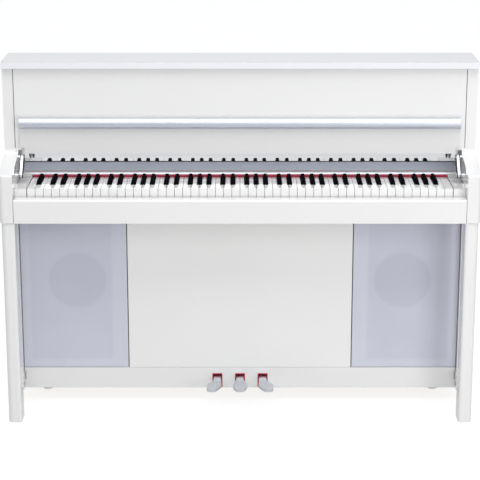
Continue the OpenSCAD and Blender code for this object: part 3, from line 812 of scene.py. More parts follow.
class Finishes(Enum):
    """Every finish on the piano."""

    WHITE_LACQUER = Lacquer(
        "white_lacquer", "white_lacquer", (0.80, 0.797, 0.797), 0.22, drift=0.008, patches=3.0
    )
    # A bluer, slightly lighter copy of the white lacquer for the lid: painted reflection of the pale sky and
    # backdrop on its top.
    LID_LACQUER_PAINTED_REFLECTION = Lacquer(
        "lid_lacquer_painted_reflection", "white_lacquer", (0.80, 0.81, 0.835), 0.2, drift=0.008, patches=3.0
    )
    # A darker copy of the white lacquer for the leaf: painted shade for the rail's shadow that falls on it.
    LEAF_LACQUER_PAINTED_SHADE = Lacquer(
        "leaf_lacquer_painted_shade", "white_lacquer", (0.71, 0.706, 0.704), 0.3, drift=0.008, patches=3.0, coat=0.6
    )
    WHITE_SATIN = Lacquer(
        "white_satin", "white_satin", (0.84, 0.838, 0.83), 0.42,
        drift=0.01, patches=3.0, coat=0.25, ripple_depth=0.08,
    )
    BRIGHT_BAR = Metal(
        "bright_bar", "silver_strip", (0.94, 0.94, 0.97), 0.38, lines=(3.0, 700.0, 700.0), line_depth=0.002
    )
    RAW_BOARD = Fibreboard("raw_board", "raw_board", (0.60, 0.48, 0.34), 0.7, fleck=(0.42, 0.31, 0.2))
    BACK_BOARD = Fibreboard("back_board", "back_board", (0.30, 0.29, 0.28), 0.55, fleck=(0.2, 0.19, 0.18))
    GRILLE_CLOTH = GrilleCloth("grille_cloth", "grille_cloth", (0.61, 0.62, 0.715), 0.85, drift=0.02)
    SILVER_STRIP = Metal(
        "silver_strip", "silver_strip", (0.82, 0.865, 0.98), 0.45, lines=(3.0, 700.0, 700.0), metal=0.0
    )
    MIRROR_STRIP = Metal(
        "mirror_strip", "mirror_strip", (0.86, 0.87, 0.89), 0.008,
        smear=0.004, line_depth=0.0, line_roughness=0.0,
    )
    RAIL_METAL = Metal(
        "rail_metal", "rail_metal", (0.64, 0.66, 0.735), 0.38, lines=(1.5, 500.0, 500.0), line_depth=0.004
    )
    CHROME = Metal(
        "chrome", "chrome", (0.66, 0.68, 0.72), 0.1, smear=0.05, line_depth=0.001, line_roughness=0.01
    )
    STEEL = Metal("zinc_steel", "steel", (0.55, 0.56, 0.58), 0.35, drift=0.05, lines=(300.0, 300.0, 20.0))
    BLACK_STEEL = Moulded("black_steel", "black_steel", (0.05, 0.05, 0.055), 0.45, grain=1600.0)
    WHITE_KEY = Moulded(
        "white_key", "white_key", (0.84, 0.837, 0.832), 0.2,
        drift=0.012, grain=500.0, grain_depth=0.004, coat=0.5,
    )
    BLACK_KEY = Moulded(
        "black_key", "black_key", (0.004, 0.004, 0.006), 0.35,
        drift=0.1, grain=1200.0, grain_depth=0.01, shine=0.0005,
    )
    RED_FELT = Felt("red_felt", "red_felt", (0.46, 0.012, 0.05), 0.9, drift=0.06, patches=40.0)
    PEDAL_METAL = Metal("pedal_metal", "pedal_metal", (0.66, 0.69, 0.73), 0.26, lines=(900.0, 9.0, 900.0))
    RUBBER = Moulded("rubber", "rubber", (0.03, 0.03, 0.03), 0.75, grain=700.0, grain_depth=0.1)
    BOARD_GREEN = Moulded("board_green", "board_green", (0.03, 0.16, 0.07), 0.35, drift=0.08, patches=60.0)
    BLACK_PLASTIC = Moulded("black_plastic", "black_plastic", (0.03, 0.03, 0.032), 0.5, grain=1300.0)
    SPEAKER_BLACK = Moulded("speaker_black", "speaker_black", (0.04, 0.04, 0.042), 0.6, grain=800.0)


class Workshop:
    """Places finished pieces on the frame, and keeps count of them."""

    def __init__(self) -> None:
        """Builds the shared effects."""
        self.effects = Effects()
        self.count = 0

    def piece(
        self, name: str, stock: Stock, finish: Finishes, body: str = CABINET, stands_for: Sequence[str] = ()
    ) -> bpy.types.Object:
        """Makes a piece from its stock.

        Args:
            name: The piece's name.
            stock: Its mesh.
            finish: Its finish.
            body: The body that it rides on.
            stands_for: The frame's nodes that it is shown in place of.

        Returns:
            The piece, riding on its body.
        """
        made = bpy.data.objects.new(name, stock.mesh(name))
        bpy.context.scene.collection.objects.link(made)
        made.data.materials.append(finish.value.material(self.effects))
        smooth = made.modifiers.new("flat_faces_stay_flat", "WEIGHTED_NORMAL")
        smooth.keep_sharp = True
        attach(made, body)
        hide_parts(*stands_for)
        self.count += 1
        log.info("%s: %s on %s", name, finish.value.name, body)
        return made

    def keep(self, node: str, finish: Finishes, edge: float = 0.0) -> None:
        """Dresses a node of the frame that is shown as it is.

        Args:
            node: The node's name.
            finish: Its finish.
            edge: Radius of the softened edges, in millimetres, or 0 to leave them.
        """
        shown = frame["nodes"][node]
        material = finish.value.material(self.effects)
        shown.data.materials.clear()
        shown.data.materials.append(material)
        if edge > 0:
            weld = shown.modifiers.new("join_corners", "WELD")
            weld.merge_threshold = 0.01 * MM
            soft = shown.modifiers.new("soften_edges", "BEVEL")
            soft.width = edge * MM
            soft.segments = 2
            soft.limit_method = "ANGLE"
            soft.angle_limit = math.radians(40)
            shown.modifiers.new("flat_faces_stay_flat", "WEIGHTED_NORMAL").keep_sharp = True
        log.info("%s: %s, kept", node, finish.value.name)


# ---- sub-assemblies ----


@dataclass
class Cabinet:
    """The case: lid, side panels, upper panel, back and bottom.

    Attributes:
        shop: Where pieces are placed.
        lid_round: Radius of the lid's edges.
        board_round: Radius of the other boards' edges.
        reveal: Shadow gap round the upper panel, beyond its fitting gap.
    """

    shop: Workshop
    lid_round: float = 2.6
    board_round: float = 1.3
    reveal: float = 1.0

    def build(self) -> None:
        """Builds and dresses every board of the case."""
        lid = Stock()
        lid.bar(Span.of("lid"))
        lid.round_edges(self.lid_round, 4)
        self.shop.piece("lid_board", lid, Finishes.LID_LACQUER_PAINTED_REFLECTION, stands_for=["lid"])
        for side in Side:
            self.board(f"side_panel_{side.word}", Finishes.WHITE_LACQUER)
        self.board("upper_front_panel", Finishes.WHITE_LACQUER, self.reveal)
        self.shop.keep("back_panel", Finishes.BACK_BOARD)
        self.shop.keep("soffit", Finishes.WHITE_SATIN, edge=0.5)
        self.shop.keep("bottom_board", Finishes.RAW_BOARD, edge=0.5)
        self.feet()

    def board(self, node: str, finish: Finishes, reveal: float = 0.0) -> None:
        """Builds one board with eased edges in place of its node.

        Args:
            node: The node's name.
            finish: The board's finish.
            reveal: How far its sides and its top stand back from the node's.
        """
        box = Span.of(node)
        stock = Stock()
        stock.bar(Span(box.x0 + reveal, box.x1 - reveal, box.y0, box.y1, box.z0, box.z1 - reveal))
        stock.round_edges(self.board_round)
        self.shop.piece(f"{node}_board", stock, finish, stands_for=[node])

    def feet(self) -> None:
        """Builds the two turned feet at the back."""
        box = Span.of("rear_feet")
        radius = (box.y1 - box.y0) / 2
        tall = box.z1 - box.z0
        profile = [
            (radius * 0.84, 0), (radius * 0.9, 1), (radius * 0.94, tall * 0.3), (radius * 0.9, tall * 0.34),
            (radius * 0.9, tall * 0.4), (radius, tall * 0.44), (radius, tall - 1), (radius - 1, tall),
        ]
        stock = Stock()
        for side in Side:
            stock.turned(profile, (side.value * (box.x1 - radius), box.cy, box.z0), (0, 0, 1))
        self.shop.piece("rear_feet_turned", stock, Finishes.WHITE_SATIN, stands_for=["rear_feet"])


@dataclass
class Stand:
    """The two arms, the two front legs and the two toe bars.

    Attributes:
        shop: Where pieces are placed.
        corner: Radius of the arm's and leg's outer front corner, seen from above.
        nose: Radius where the arm's top turns down to its front.
        sweep: Radius of the hollow where the arm's top meets the side panel.
        front_top: Height of the arm's top at its front.
        rear_drop: Distance from the mirror's top down to the arm's top at its back.
        tongue: Thickness of the wall that runs on past the arm, beside the keys.
        tongue_lap: How far the wall reaches into the arm.
        tongue_drop: Distance from the frame's arm top down to the wall's top.
        leg_inner: Radius of the leg's inner front corner.
        crisp: Radius of the other edges.
        joint: Shadow gap where the leg meets the arm.
        toe_bar: Thickness of a toe bar.
    """

    shop: Workshop
    corner: float = 16.0
    nose: float = 6.0
    sweep: float = 20.0
    front_top: float = 750.0
    rear_drop: float = 13.0
    tongue: float = 9.0
    tongue_lap: float = 4.0
    tongue_drop: float = 9.0
    leg_inner: float = 8.0
    crisp: float = 1.4
    joint: float = 1.6
    toe_bar: float = 31.0

    def build(self) -> None:
        """Builds and dresses both sides."""
        for side in Side:
            self.arm(side)
            self.leg(side)
        self.toe_bars()

    def arm(self, side: Side) -> None:
        """Builds one arm and the wall behind it."""
        box = Span.of("arm_right")
        panel = Span.of("side_panel_right")
        keybed = Span.of("keybed")
        back = panel.y0
        top_rear = Span.of("mirror_strip").z1 - self.rear_drop
        rise = (top_rear - self.front_top) / (back - box.y0)
        base = keybed.z0
        rings = []
        steps = 10
        stations = [(box.x0, 0.0)]
        for i in range(steps + 1):
            turn = math.radians(90 * i / steps)
            x = box.x1 - self.corner + self.corner * math.sin(turn)
            stations.append((x, self.corner * (1 - math.cos(turn))))
        for x, set_back in stations:
            front = box.y0 + set_back
            lift = set_back * rise
            outline = [(back, base), (front, base)]
            outline += arc(front + self.nose, self.front_top + lift - self.nose, self.nose, 180, 100)
            outline += arc(back - self.sweep, top_rear + self.sweep, self.sweep, -80, 0)
            rings.append([(x, y, z) for y, z in outline])
        stock = Stock()
        stock.loft(rings)
        stock.round_edges(self.crisp, 3, 32)
        arm = f"arm_{side.word}"
        self.shop.piece(f"{arm}_shaped", stock.mirrored(side), Finishes.WHITE_LACQUER, stands_for=[arm])
        wall = Stock()
        inner = box.x0 + self.tongue
        wall.bar(Span(box.x0, inner, back - self.tongue_lap, box.y1, base, box.z1 - self.tongue_drop))
        wall.round_edges(0.8)
        self.shop.piece(f"cheek_wall_{side.word}", wall.mirrored(side), Finishes.WHITE_LACQUER)

    def leg(self, side: Side) -> None:
        """Builds one front leg."""
        box = Span.of("leg_right")
        outline = [(box.x0, box.y1)]
        outline += arc(box.x0 + self.leg_inner, box.y0 + self.leg_inner, self.leg_inner, 180, 270)
        outline += arc(box.x1 - self.corner, box.y0 + self.corner, self.corner, -90, 0, 10)
        outline += [(box.x1, box.y1)]
        stock = Stock()
        stock.prism(outline, Axis.Z, box.z0, box.z1 - self.joint)
        stock.round_edges(self.crisp, 3, 32)
        leg = f"leg_{side.word}"
        self.shop.piece(f"{leg}_post", stock.mirrored(side), Finishes.WHITE_LACQUER, stands_for=[leg])

    def toe_bars(self) -> None:
        """Builds the short bars between the legs and the cabinet."""
        box = Span.of("toe_bars")
        leg = Span.of("leg_right")
        stock = Stock()
        for side in Side:
            x = sorted((side.value * leg.x1, side.value * (leg.x1 - self.toe_bar)))
            stock.bar(Span(x[0], x[1], box.y0, box.y1, box.z0, box.z1))
        stock.round_edges(self.crisp)
        self.shop.piece("toe_bars_pair", stock, Finishes.WHITE_LACQUER, stands_for=["toe_bars"])


@dataclass
class KeyWell:
    """What surrounds the keys: keyslip, cheek blocks, strips and felt.

    Attributes:
        shop: Where pieces are placed.
        slip_nose: Radius of the keyslip's top front edge.
        slip_gap: Shadow gap at each end of the keyslip, beyond its fitting gap.
        sheet: Thickness of the sloping strip.
        lip: Radius of the strip's rolled front edge.
        front_high: Height of the strip's front bar.
        front_bar: Depth of the strip's front bar.
        step: How far the sheet lies below the front bar.
        seal: Radius of the black bead along the mirror's foot, painted shade for the shadow line there.
        shadow_bead_out: How far the bead's middle stands in front of the mirror.
        key_gap: Space between the last white key and the cheek block.
        felt_slack: Room behind the felt in the cheek blocks.
        filler_gap: Space between the strip's end and its filler.
        filler_drop: Distance from the mirror's top down to the fillers' tops.
    """

    shop: Workshop
    slip_nose: float = 6.0
    slip_gap: float = 0.8
    sheet: float = 3.0
    lip: float = 8.0
    front_high: float = 9.0
    front_bar: float = 10.0
    step: float = 0.3
    seal: float = 1.3
    shadow_bead_out: float = 0.6
    key_gap: float = 2.25
    felt_slack: float = 8.0
    filler_gap: float = 0.4
    filler_drop: float = 1.0

    def build(self) -> None:
        """Builds and dresses the well."""
        self.keyslip()
        self.cheeks()
        self.strip()
        self.felt()
        self.shop.keep("keybed", Finishes.WHITE_SATIN, edge=0.8)

    def keyslip(self) -> None:
        """Builds the board in front of the keys."""
        box = Span.of("keyslip")
        outline = [(box.y1, box.z0), (box.y0, box.z0)]
        outline += arc(box.y0 + self.slip_nose, box.z1 - self.slip_nose, self.slip_nose, 180, 90)
        outline += [(box.y1, box.z1)]
        stock = Stock()
        stock.prism(outline, Axis.X, box.x0 + self.slip_gap, box.x1 - self.slip_gap)
        stock.round_edges(1.0, 3, 32)
        self.shop.piece("keyslip_board", stock, Finishes.WHITE_LACQUER, stands_for=["keyslip"])

    def cheeks(self) -> None:
        """Builds the blocks at both ends of the keys."""
        box = Span.of("cheek_blocks")
        keys = Span.of("white_keys_treble")
        felt = Span.of("key_felt")
        inner = keys.x1 + self.key_gap
        top = keys.z1
        foot = felt.z1
        behind = felt.y1 + self.felt_slack
        outline = [
            (box.y0, box.z0), (box.y0, top), (felt.y0, top), (felt.y0, foot),
            (behind, foot), (behind, top), (box.y1, top), (box.y1, box.z0),
        ]
        stock = Stock()
        stock.prism(outline, Axis.X, inner, box.x1)
        stock.prism(outline, Axis.X, -box.x1, -inner)
        stock.round_edges(1.2, 3)
        self.shop.piece("cheek_blocks_pair", stock, Finishes.WHITE_LACQUER, stands_for=["cheek_blocks"])

    def strip(self) -> None:
        """Builds the sloping strip with its bright front bar, and the mirror behind it."""
        box = Span.of("control_strip")
        mirror = Span.of("mirror_strip")
        front_top = box.z0 + self.front_high
        rise = mirror.z0 + self.sheet - front_top
        slope = math.degrees(math.atan2(rise, box.y1 - box.y0))
        fold = box.y0 + self.front_bar
        fold_top = front_top + rise * self.front_bar / (box.y1 - box.y0)
        outline = [(box.y0, box.z0)]
        outline += arc(box.y0 + self.lip, front_top - self.lip, self.lip, 180, 90 + slope)
        outline += [(fold, fold_top), (fold, box.z0)]
        bar = Stock()
        bar.prism(outline, Axis.X, box.x0, box.x1)
        bar.round_edges(0.4, 2, 60)
        self.shop.piece("control_strip_front", bar, Finishes.BRIGHT_BAR, stands_for=["control_strip"])
        sheet = Stock()
        start = fold_top - self.step
        top = [(fold, start), (box.y1, box.z1 - self.step)]
        bottom = [(box.y1, box.z1 - self.sheet), (fold, start - self.sheet)]
        sheet.prism(top + bottom, Axis.X, box.x0, box.x1)
        sheet.round_edges(0.3, 2, 40)
        self.shop.piece("control_strip_sheet", sheet, Finishes.SILVER_STRIP)
        glass = Stock()
        glass.bar(mirror)
        glass.round_edges(0.4, 2)
        self.shop.piece("mirror_strip_sheet", glass, Finishes.MIRROR_STRIP, stands_for=["mirror_strip"])
        # A thin black bead along the mirror's foot: painted shade for the dark shadow line where the strip meets
        # the mirror.
        seal = Stock()
        bead = arc(mirror.y0 - self.shadow_bead_out, box.z1, self.seal, 0, 330, 11)
        seal.prism(bead, Axis.X, box.x0, box.x1)
        self.shop.piece("mirror_foot_shade_bead", seal, Finishes.RUBBER)
        self.fillers(box, mirror)

    def fillers(self, box: Span, mirror: Span) -> None:
        """Builds the white blocks between the strip's ends and the arms' walls."""
        start = box.x1 + self.filler_gap
        end = Span.of("arm_right").x0 - 0.1
        stock = Stock()
        for side in Side:
            ends = sorted((side.value * start, side.value * end))
            stock.bar(Span(*ends, box.y0, mirror.y1, box.z0, mirror.z1 - self.filler_drop))
        stock.round_edges(0.8)
        self.shop.piece("strip_end_fillers", stock, Finishes.WHITE_LACQUER)

    def felt(self) -> None:
        """Builds the red felt that lies over the keys' ends."""
        box = Span.of("key_felt")
        stock = Stock()
        stock.bar(box)
        stock.round_edges(1.6, 3)
        self.shop.piece("key_felt_strip", stock, Finishes.RED_FELT, stands_for=["key_felt"])


@dataclass
class Keyboard:
    """The 88 keys, with their chassis and rod.

    Attributes:
        shop: Where pieces are placed.
        white_count: Number of white keys.
        gap: Space between white keys.
        front_lip: Depth of the lip at a white key's front.
        body: Thickness of a white key behind its lip.
        start: Distance from the white keys' fronts to the black keys' fronts.
        rise: Height of the black keys above the white ones.
        foot: Width of a black key at its foot.
        taper: How much each side of a black key leans in.
        clear: Space between a black key and the white keys beside it.
        tail: How far the raised part of a black key stops before the keys' visible end.
        middle: Numbers of the white keys that have a node each.
        letters: Letters of the white keys, from the bass end.
        shifts: Offset of each black key's middle from the gap that it stands over, by the letter to its left.
        crown: Height of the rounded crest along a black key's top.
    """

    shop: Workshop
    white_count: int = 52
    gap: float = 1.2
    front_lip: float = 5.0
    body: float = 20.0
    start: float = 50.0
    rise: float = 12.0
    foot: float = 13.7
    taper: float = 1.9
    clear: float = 1.0
    tail: float = 1.0
    middle: range = range(23, 30)
    letters: str = "abcdefg"
    shifts: dict[str, float] = field(
        default_factory=lambda: {"c": -2.8, "d": 2.8, "f": -3.8, "g": 0.0, "a": 3.8}
    )
    crown: float = 0.25

    def __post_init__(self) -> None:
        """Reads the keys' places from the frame."""
        bass = Span.of("white_keys_bass")
        treble = Span.of("white_keys_treble")
        self.half = (treble.x1 - bass.x0 + self.gap) / 2
        self.pitch = 2 * self.half / self.white_count
        self.box = bass
        self.felt_y = Span.of("key_felt").y0

    def letter(self, number: int) -> str:
        """The letter of white key number, counted from the bass end."""
        return self.letters[number % len(self.letters)]

    def has_black(self, number: int) -> bool:
        """True if a black key stands to the right of this white key."""
        return 0 <= number < self.white_count - 1 and self.letter(number) in self.shifts

    def left_of(self, number: int) -> float:
        """Where a white key's share of the keyboard starts."""
        return -self.half + self.pitch * number

    def black_middle(self, number: int) -> float:
        """Middle of the black key to the right of this white key."""
        return self.left_of(number + 1) + self.shifts[self.letter(number)]

    def build(self) -> None:
        """Builds every key, joined as the frame's nodes are, and dresses the parts under them."""
        groups = {"bass": range(self.middle.start), "treble": range(self.middle.stop, self.white_count)}
        for part, numbers in groups.items():
            self.whites(f"white_keys_{part}", numbers)
            self.blacks(f"black_keys_{part}", numbers)
        for number in self.middle:
            name = f"key_{self.letter(number)}4"
            self.whites(name, [number])
            self.blacks(f"{name}_sharp", [number])
        self.shop.keep("key_chassis", Finishes.BLACK_STEEL)
        self.shop.keep("key_rod", Finishes.STEEL)

    def whites(self, node: str, numbers: Iterable[int]) -> None:
        """Builds the white keys of one node."""
        stock = Stock()
        for number in numbers:
            self.white_key(stock, number)
        top = self.box.z1
        edges = EdgeTest(low=(-1e4, self.box.y0 - 1, top - 0.01), high=(1e4, self.felt_y + 40, top + 0.01))
        stock.round_edges(0.9, 3, keep=edges)
        self.shop.piece(f"{node}_white", stock, Finishes.WHITE_KEY, node, [node])

    def white_key(self, stock: Stock, number: int) -> None:
        """Adds one white key, cut back beside its black keys, with a deeper lip in front."""
        x0 = self.left_of(number) + self.gap / 2
        x1 = self.left_of(number + 1) - self.gap / 2
        away = self.foot / 2 + self.clear
        left = max(x0, self.black_middle(number - 1) + away) if self.has_black(number - 1) else x0
        right = min(x1, self.black_middle(number) - away) if self.has_black(number) else x1
        front, end, top, low = self.box.y0, self.box.y1, self.box.z1, self.box.z0
        under = top - self.body
        lip = front + self.front_lip
        cut = front + self.start - self.clear
        plan = [(x0, front), (x1, front), (x1, cut)]
        plan += [(right, cut)] if right < x1 else []
        plan += [(right, end), (left, end)]
        plan += [(left, cut)] if left > x0 else []
        plan += [(x0, cut)]
        uppers = stock.corners((x, y, top) for x, y in plan)
        lowers = stock.corners((x, y, under) for x, y in plan[2:])
        toes = stock.corners([(x0, front, low), (x1, front, low), (x1, lip, low), (x0, lip, low)])
        heels = stock.corners([(x1, lip, under), (x0, lip, under)])
        faces = stock.bm.faces
        faces.new(uppers)
        faces.new((heels[1], heels[0], *lowers))
        faces.new(toes)
        faces.new((toes[0], toes[1], uppers[1], uppers[0]))
        faces.new((toes[3], toes[2], heels[0], heels[1]))
        faces.new((toes[1], toes[2], heels[0], lowers[0], uppers[2], uppers[1]))
        faces.new((toes[0], toes[3], heels[1], lowers[-1], uppers[-1], uppers[0]))
        for i in range(len(lowers) - 1):
            faces.new((lowers[i], lowers[i + 1], uppers[i + 3], uppers[i + 2]))

    def blacks(self, node: str, numbers: Iterable[int]) -> None:
        """Builds the black keys of one node, if it has any."""
        having = [n for n in numbers if self.has_black(n)]
        if not having:
            return
        stock = Stock()
        for number in having:
            self.black_key(stock, self.black_middle(number))
        self.shop.piece(f"{node}_black", stock, Finishes.BLACK_KEY, node, [node])

    def black_key(self, stock: Stock, x: float) -> None:
        """Adds one black key, tapered, with a sloping nose and rounded top edges."""
        front = self.box.y0 + self.start
        back = self.felt_y - self.tail
        foot = self.box.z1 - 1
        top = self.box.z1 + self.rise
        nose = [(0.0, 0.4), (0.5, 2.5), (2.2, 6.5), (4.0, 9.8), (5.6, 11.8), (7.4, 12.7)]
        stations = [(front + dy, foot + dz) for dy, dz in nose]
        stations += [(front + 10, top), (back - 1.2, top), (back - 0.3, top - 0.4), (back, top - 1.3)]
        stock.loft([self.black_section(x, y, foot, crest, top) for y, crest in stations])
        half = self.foot / 2 - 0.6
        stock.bar(Span(x - half, x + half, front + 2, self.box.y1, self.box.z1 - self.body, foot + 0.3))

    def black_section(self, x: float, y: float, foot: float, crest: float, top: float) -> list[Point3]:
        """One cross-section of a black key, from its foot up to crest.

        Args:
            x: Middle of the key.
            y: Where the section is.
            foot: Height of its foot.
            crest: Height that the key reaches here.
            top: Height of the key's flat top.

        Returns:
            The section's points, in order.
        """
        radius = min(1.7, (crest - foot) * 0.6)
        lean = self.taper * (crest - foot) / (top - foot)
        half = self.foot / 2 - lean
        right = arc(x + half - radius, crest - radius - self.crown, radius, 8, 84, 4)
        left = arc(x - half + radius, crest - radius - self.crown, radius, 96, 172, 4)
        outline = [(x + self.foot / 2, foot), *right, (x, crest), *left, (x - self.foot / 2, foot)]
        return [(px, y, pz) for px, pz in outline]


def joint_place(name: str) -> Point3:
    """Where a joint of the frame turns, in millimetres."""
    joint = next(j for j in frame["joints"] if j["name"] == name)
    return tuple(v / MM for v in joint["pos_m"])


@dataclass
class Fallboard:
    """The folding leaf with its nose rail, and the brackets that it turns on.

    Attributes:
        shop: Where pieces are placed.
        drop: Height of the leaf's lower edge above the pivot.
        notch: Height of the notch at each end of the leaf.
        lug: Width of the leaf's hinge lugs.
        lug_in: Distance from the leaf's end to its lug.
        rail_ease: How far the rail's back corners are cut.
        rail_cap: Length of each cap on the rail.
        bracket_in: Distance from the leaf's end to its bracket's inner face.
        bracket: Width of a bracket.
        liner: Thickness of the black liner on each face of a bracket.
        bracket_round: Radius of the bracket's ends.
        leg: Distance from the pivot to the bracket's screw, forward and down.
    """

    shop: Workshop
    drop: float = 12.0
    notch: float = 18.0
    lug: float = 12.0
    lug_in: float = 11.5
    rail_ease: float = 1.2
    rail_cap: float = 2.5
    bracket_in: float = 10.0
    bracket: float = 12.0
    liner: float = 2.4
    bracket_round: float = 8.0
    leg: float = 44.0

    def __post_init__(self) -> None:
        """Reads the pivot's place from the frame."""
        _, self.pivot_y, self.pivot_z = joint_place("fallboard_hinge")

    def build(self) -> None:
        """Builds and dresses the fallboard."""
        self.leaf()
        self.rail()
        for side in Side:
            self.bracket_of(side)
        self.shop.keep("fallboard_pins", Finishes.WHITE_SATIN)

    def leaf(self) -> None:
        """Builds the leaf with its end notches and lugs."""
        box = Span.of("fallboard_leaf")
        edge = self.pivot_z + self.drop
        inner = box.x1 - self.lug_in
        step = edge + self.notch
        outline = [(-inner, edge), (inner, edge), (inner, step), (box.x1, step)]
        outline += [(box.x1, box.z1), (box.x0, box.z1), (box.x0, step), (-inner, step)]
        stock = Stock()
        stock.prism(outline, Axis.Y, box.y0, box.y1)
        stock.round_edges(1.0)
        radius = self.pivot_z - box.z0
        lug = arc(self.pivot_y, self.pivot_z, radius, 180, 360, 12)
        lug += [(box.y1 - 0.3, edge + 0.5), (box.y0 + 0.3, edge + 0.5)]
        for side in Side:
            ends = sorted((side.value * (inner - self.lug), side.value * inner))
            stock.prism(lug, Axis.X, *ends)
        self.shop.piece("fallboard_leaf_board", stock, Finishes.LEAF_LACQUER_PAINTED_SHADE, FALLBOARD, ["fallboard_leaf"])

    def rail(self) -> None:
        """Builds the rounded rail along the leaf's edge, with a cap at each end."""
        box = Span.of("fallboard_rail")
        radius = (box.z1 - box.z0) / 2
        middle = box.y0 + radius
        ease = self.rail_ease
        left = box.x0 + self.rail_cap
        right = box.x1 - self.rail_cap
        for name, shrink, spans in (
            ("fallboard_rail_roll", 0.5, [(left, right)]),
            ("fallboard_rail_caps", 0.0, [(box.x0, left), (right, box.x1)]),
        ):
            round_part = arc(middle, box.cz, radius - shrink, 90, 270, 36)
            outline = [(box.y1, box.z1 - ease), (box.y1 - ease, box.z1 - shrink), *round_part]
            outline += [(box.y1 - ease, box.z0 + shrink), (box.y1, box.z0 + ease)]
            stock = Stock()
            for span in spans:
                stock.prism(outline, Axis.X, *span)
            stock.round_edges(0.5, 2, 60)
            stands_for = ["fallboard_rail"] if shrink else []
            self.shop.piece(name, stock, Finishes.RAIL_METAL, FALLBOARD, stands_for)

    def slanted(self, radius: float) -> list[Point2]:
        """Side view of a bracket: a slanted bar with round ends."""
        foot_y = self.pivot_y - self.leg
        foot_z = self.pivot_z - self.leg
        upper = arc(self.pivot_y, self.pivot_z, radius, -45, 135, 16)
        return upper + arc(foot_y, foot_z, radius, 135, 315, 16)

    def bracket_of(self, side: Side) -> None:
        """Builds one chrome bracket with its black liners and its two bosses."""
        inner = Span.of("fallboard_leaf").x1 - self.bracket_in
        outer = inner + self.bracket
        bar = Stock()
        bar.prism(self.slanted(self.bracket_round - 1.3), Axis.X, inner + self.liner, outer - self.liner)
        bar.round_edges(1.6, 4)
        for along in (0.0, self.leg):
            base = (outer - 1, self.pivot_y - along, self.pivot_z - along)
            reach = Span.of("arm_right").x0 - outer + 1
            radius = self.bracket_round - 1.5
            bar.turned([(radius, 0), (radius, reach)], base, (1, 0, 0), 24)
        word = side.word
        self.shop.piece(
            f"fallboard_bracket_{word}", bar.mirrored(side), Finishes.CHROME,
            stands_for=["fallboard_brackets"] if side is Side.LEFT else [],
        )
        liners = Stock()
        for low in (inner, outer - self.liner):
            liners.prism(self.slanted(self.bracket_round), Axis.X, low, low + self.liner)
        liners.round_edges(0.6, 2)
        self.shop.piece(f"fallboard_liners_{word}", liners.mirrored(side), Finishes.RUBBER)


@dataclass
class LowerFront:
    """The lower panels: the middle board, the two grilles with their speakers, and the bottom rail.

    Attributes:
        shop: Where pieces are placed.
        wrap: Radius of the cloth where it turns round the frame.
        cloth: Thickness of the cloth.
        hem: Width of the hem that is turned in behind the frame.
        bar: Width of the frame's bars.
        reveal: Shadow gap between the middle board and the grilles, beyond its fitting gap.
    """

    shop: Workshop
    wrap: float = 2.6
    cloth: float = 0.6
    hem: float = 12.0
    bar: float = 26.0
    reveal: float = 1.8

    def build(self) -> None:
        """Builds and dresses the lower front."""
        box = Span.of("lower_centre_panel")
        stock = Stock()
        stock.bar(Span(box.x0 + self.reveal, box.x1 - self.reveal, box.y0, box.y1, box.z0, box.z1))
        stock.round_edges(1.4)
        self.shop.piece("lower_centre_board", stock, Finishes.WHITE_SATIN, stands_for=["lower_centre_panel"])
        for side in Side:
            self.grille(side)
        self.shop.keep("bottom_rail", Finishes.WHITE_LACQUER, edge=1.0)
        self.shop.keep("speaker_baffles", Finishes.RAW_BOARD)
        self.shop.keep("speakers", Finishes.SPEAKER_BLACK)

    def ring(self, box: Span, inset: float, y: float) -> list[Point3]:
        """A rectangle inside a box's front view, at a depth."""
        corners = rectangle(box.x0 + inset, box.x1 - inset, box.z0 + inset, box.z1 - inset)
        return [(x, y, z) for x, z in corners]

    def grille(self, side: Side) -> None:
        """Builds one grille: a frame, and the cloth stretched over it."""
        box = Span.of("grille_right")
        stock = Stock()
        front = [self.ring(box, i, y) for i, y in self.cloth_line(0.0, box)]
        back = [self.ring(box, i, y) for i, y in self.cloth_line(self.cloth, box)]
        stock.loft([*back[::-1], *front])
        name = f"grille_cloth_{side.word}"
        piece = self.shop.piece(
            name, stock.mirrored(side), Finishes.GRILLE_CLOTH, stands_for=[f"grille_{side.word}"]
        )
        self.frame_of(side, box)

    def cloth_line(self, skin: float, box: Span) -> list[Point2]:
        """The cloth's path from its hem round to the front, as (inset, depth) points.

        Args:
            skin: How far inside the outer face the path runs.
            box: The grille's box.

        Returns:
            The path's points, hem first.
        """
        radius = self.wrap - skin
        bend = arc(self.wrap, box.y0 + self.wrap, radius, 180, 270, 6)
        tight = arc(self.wrap, box.y1 - self.wrap, radius, 90, 180, 4)
        return [(self.hem, box.y1 - skin), *tight, *bend]

    def frame_of(self, side: Side, box: Span) -> None:
        """Builds the frame under one grille's cloth."""
        gap = self.cloth + 0.1
        outer_front = self.ring(box, gap, box.y0 + gap)
        outer_back = self.ring(box, gap, box.y1 - gap)
        inner_back = self.ring(box, self.bar, box.y1 - gap)
        inner_front = self.ring(box, self.bar, box.y0 + gap)
        stock = Stock()
        stock.loop([outer_front, outer_back, inner_back, inner_front])
        self.shop.piece(f"grille_frame_{side.word}", stock.mirrored(side), Finishes.RAW_BOARD)


